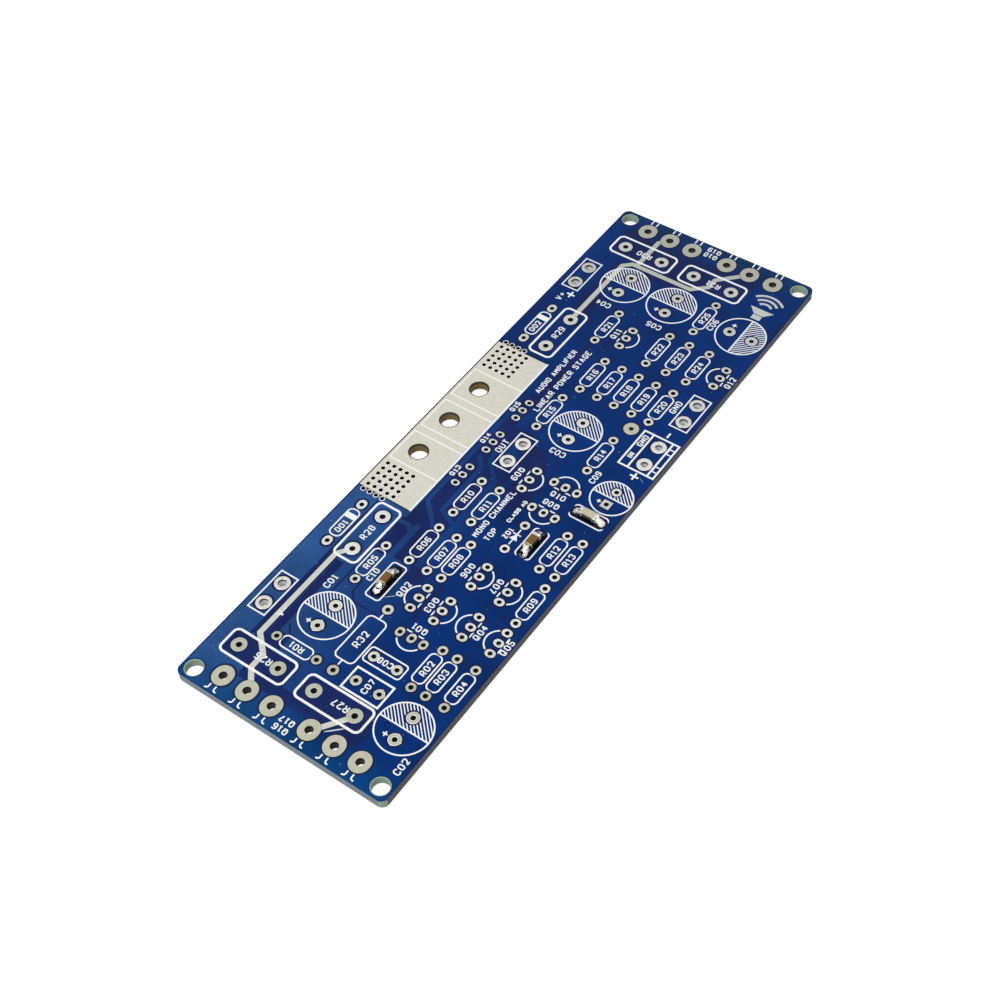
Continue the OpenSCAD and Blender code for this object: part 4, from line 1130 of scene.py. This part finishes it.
@dataclass
class LoudspeakerSign(Trim):
    """A tinned loudspeaker sign beside the board's corner: a plain cone and three sound arcs.

    The magnet and the cone are each given by where they start and end, and by how tall they are there
    as a share of the sign's height.
    """

    x: float = 60.5
    y: float = -17.0
    height: float = 6.6
    magnet: tuple[Span, Span] = ((-3.2, -1.9), (0.3, 0.3))
    cone: tuple[Span, Span] = ((-1.7, 0.0), (0.32, 0.8))
    tin_mm: float = 0.03
    arc_width: float = 0.55
    arcs: tuple[float, ...] = (1.5, 2.7, 3.9)
    arc_degrees: float = 96.0
    arc_steps: int = 14

    def build(self) -> None:
        """Draws the sign and gives it the thickness of its tin."""
        sign = bmesh.new()
        for ends, shares in (self.magnet, self.cone):
            near, far = (share * self.height / 2 for share in shares)
            corners = [(ends[0], -near), (ends[1], -far), (ends[1], far), (ends[0], near)]
            sign.faces.new([sign.verts.new((*corner, 0)) for corner in corners])
        for radius in self.arcs:
            self.arc(sign, radius)
        thicken(sign, self.tin_mm)
        place = Matrix.Translation((self.x * MM, self.y * MM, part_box("top_mask")[1].z))
        self.add("loudspeaker_sign", meshed(sign, place @ TO_METRES), "tinned_pad", TIN_PAD)

    def arc(self, sign: Shape, radius: float) -> None:
        """Sweeps one sound arc from a short line.

        Args:
            sign: The bmesh.
            radius: The arc's inner radius.
        """
        sweep = math.radians(self.arc_degrees)
        start = Matrix.Rotation(-sweep / 2, 3, "Z")
        ends = [sign.verts.new(start @ Vector((r, 0, 0))) for r in (radius, radius + self.arc_width)]
        bmesh.ops.spin(
            sign, geom=[*ends, sign.edges.new(ends)], cent=(0, 0, 0), axis=(0, 0, 1), angle=sweep,
            steps=self.arc_steps, use_merge=False,
        )


@dataclass
class SolderJoints(Trim):
    """The two soldered ends of each chip, smoothed from the plain solids into flowing solder."""

    alloys: tuple[Finish, ...] = (SOLDER, PATCHY_SOLDER, SHINY_SOLDER)

    def build(self) -> None:
        """Makes one smooth piece for each chip's solder."""
        for number, finish in enumerate(self.alloys, start=1):
            node = f"chip_{number}_solder"
            melt = self.copied(node)
            for face in melt.faces:
                face.smooth = True
            piece = self.add(f"solder_{number}", meshed(melt, AS_IT_IS), "solder", finish)
            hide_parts(node)


@dataclass(frozen=True)
class Lamp:
    """A square soft lamp: its name, its place in metres, its side in metres and its power in watts."""

    name: str
    place: Place
    side: float
    power: float

    def hang(self) -> None:
        """Hangs the lamp so that it looks at the board's middle."""
        light = bpy.data.lights.new(self.name, "AREA")
        light.size = self.side
        light.energy = self.power
        holder = bpy.data.objects.new(self.name, light)
        holder.location = self.place
        holder.rotation_euler = Vector(self.place).to_track_quat("Z", "Y").to_euler()
        bpy.context.scene.collection.objects.link(holder)


@dataclass
class Studio:
    """A pale floor, soft lamps and the camera."""

    lens_mm: float = 57.795
    sensor_mm: float = 36.0
    clip_m: Span = (0.01, 20.0)
    eye: Place = (-158.479, -118.616, 230.910)
    right: Place = (0.58084, -0.81312, -0.03819)
    up: Place = (0.64182, 0.42861, 0.63589)
    back: Place = (-0.50069, -0.39387, 0.77083)
    floor_mm: float = 4000.0
    paper: str = "#959595"
    backdrop: str = "#ffffff"
    glow: float = 0.86
    sky: float = 0.35
    lamps: tuple[Lamp, ...] = (
        Lamp("key", (-0.55, 0.15, 0.75), 0.5, 5.6),
        Lamp("front", (-0.1, -0.6, 0.7), 0.5, 1.7),
    )

    def camera(self) -> None:
        """Places the camera."""
        lens = bpy.data.cameras.new("camera")
        lens.lens = self.lens_mm
        lens.sensor_width = self.sensor_mm
        lens.clip_start, lens.clip_end = self.clip_m
        holder = bpy.data.objects.new("camera", lens)
        turn = Matrix((self.right, self.up, self.back)).transposed().to_4x4()
        holder.matrix_world = Matrix.Translation(Vector(self.eye) * MM) @ turn
        bpy.context.scene.collection.objects.link(holder)
        bpy.context.scene.camera = holder

    def seen(self, tree: Tree) -> Socket:
        """Tells whether the eye sees a thing, straight or in a shiny or clear one.

        Args:
            tree: The node tree that asks.

        Returns:
            A socket of one where it does.
        """
        path = add_node(tree, "LightPath").outputs
        seen = path["Is Camera Ray"]
        for ray in ("Is Glossy Ray", "Is Transmission Ray"):
            seen = add_node(tree, "Math", {0: seen, 1: path[ray]}, operation="MAXIMUM").outputs[0]
        return seen

    def floor(self) -> None:
        """Lays the floor, which the camera sees as white but for the board's soft shadow."""
        ground = bmesh.new()
        bmesh.ops.create_grid(ground, x_segments=1, y_segments=1, size=self.floor_mm * MM / 2)
        mesh = meshed(ground, AS_IT_IS)
        piece = bpy.data.objects.new("floor", mesh)
        bpy.context.scene.collection.objects.link(piece)
        made = bpy.data.materials.new("white_paper_backdrop")
        made.use_nodes = True
        tree = made.node_tree
        tree.nodes.clear()
        paper = add_node(tree, "BsdfDiffuse", {"Color": to_linear(self.paper)})
        glow = add_node(tree, "Emission", {"Color": to_linear(self.backdrop), "Strength": self.glow})
        both = add_node(tree, "AddShader", {0: paper.outputs[0], 1: glow.outputs[0]})
        ends = {0: self.seen(tree), 1: paper.outputs[0], 2: both.outputs[0]}
        mixed = add_node(tree, "MixShader", ends)
        add_node(tree, "OutputMaterial", {"Surface": mixed.outputs[0]})
        mesh.materials.append(made)

    def light(self) -> None:
        """Hangs the lamps and sets the sky, which shows as white and lights as a dimmer one."""
        world = bpy.data.worlds.new("studio")
        world.use_nodes = True
        tree = world.node_tree
        tree.nodes.clear()
        dim, white = (
            add_node(tree, "Background", {"Color": to_linear(self.backdrop), "Strength": strength})
            for strength in (self.sky, 1.0)
        )
        ends = {0: self.seen(tree), 1: dim.outputs[0], 2: white.outputs[0]}
        mixed = add_node(tree, "MixShader", ends)
        add_node(tree, "OutputWorld", {"Surface": mixed.outputs[0]})
        bpy.context.scene.world = world
        for lamp in self.lamps:
            lamp.hang()

    def build(self) -> None:
        """Sets the whole studio up."""
        bpy.context.scene.view_settings.view_transform = "Standard"
        self.camera()
        self.floor()
        self.light()


def main() -> None:
    """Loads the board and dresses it."""
    logging.basicConfig(level=logging.INFO, format="%(name)s: %(message)s")
    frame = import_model()
    nodes = frame["nodes"]
    wardrobe = Wardrobe()
    Studio().build()
    for finish, names in NODE_FINISHES.items():
        for name in names:
            wardrobe.dress(nodes[name], finish)
        LOG.info("%s: %d nodes", finish.name, len(names))
    for trim in (
        Lettering, PadMoats, StripMoat, ViaMouthShades, TinBeads,
        TinLobes, DarkChipPatches, LintAndGlint, LoudspeakerSign, SolderJoints,
    ):
        trim(wardrobe, nodes).build()


if __name__ == "__main__":
    main()
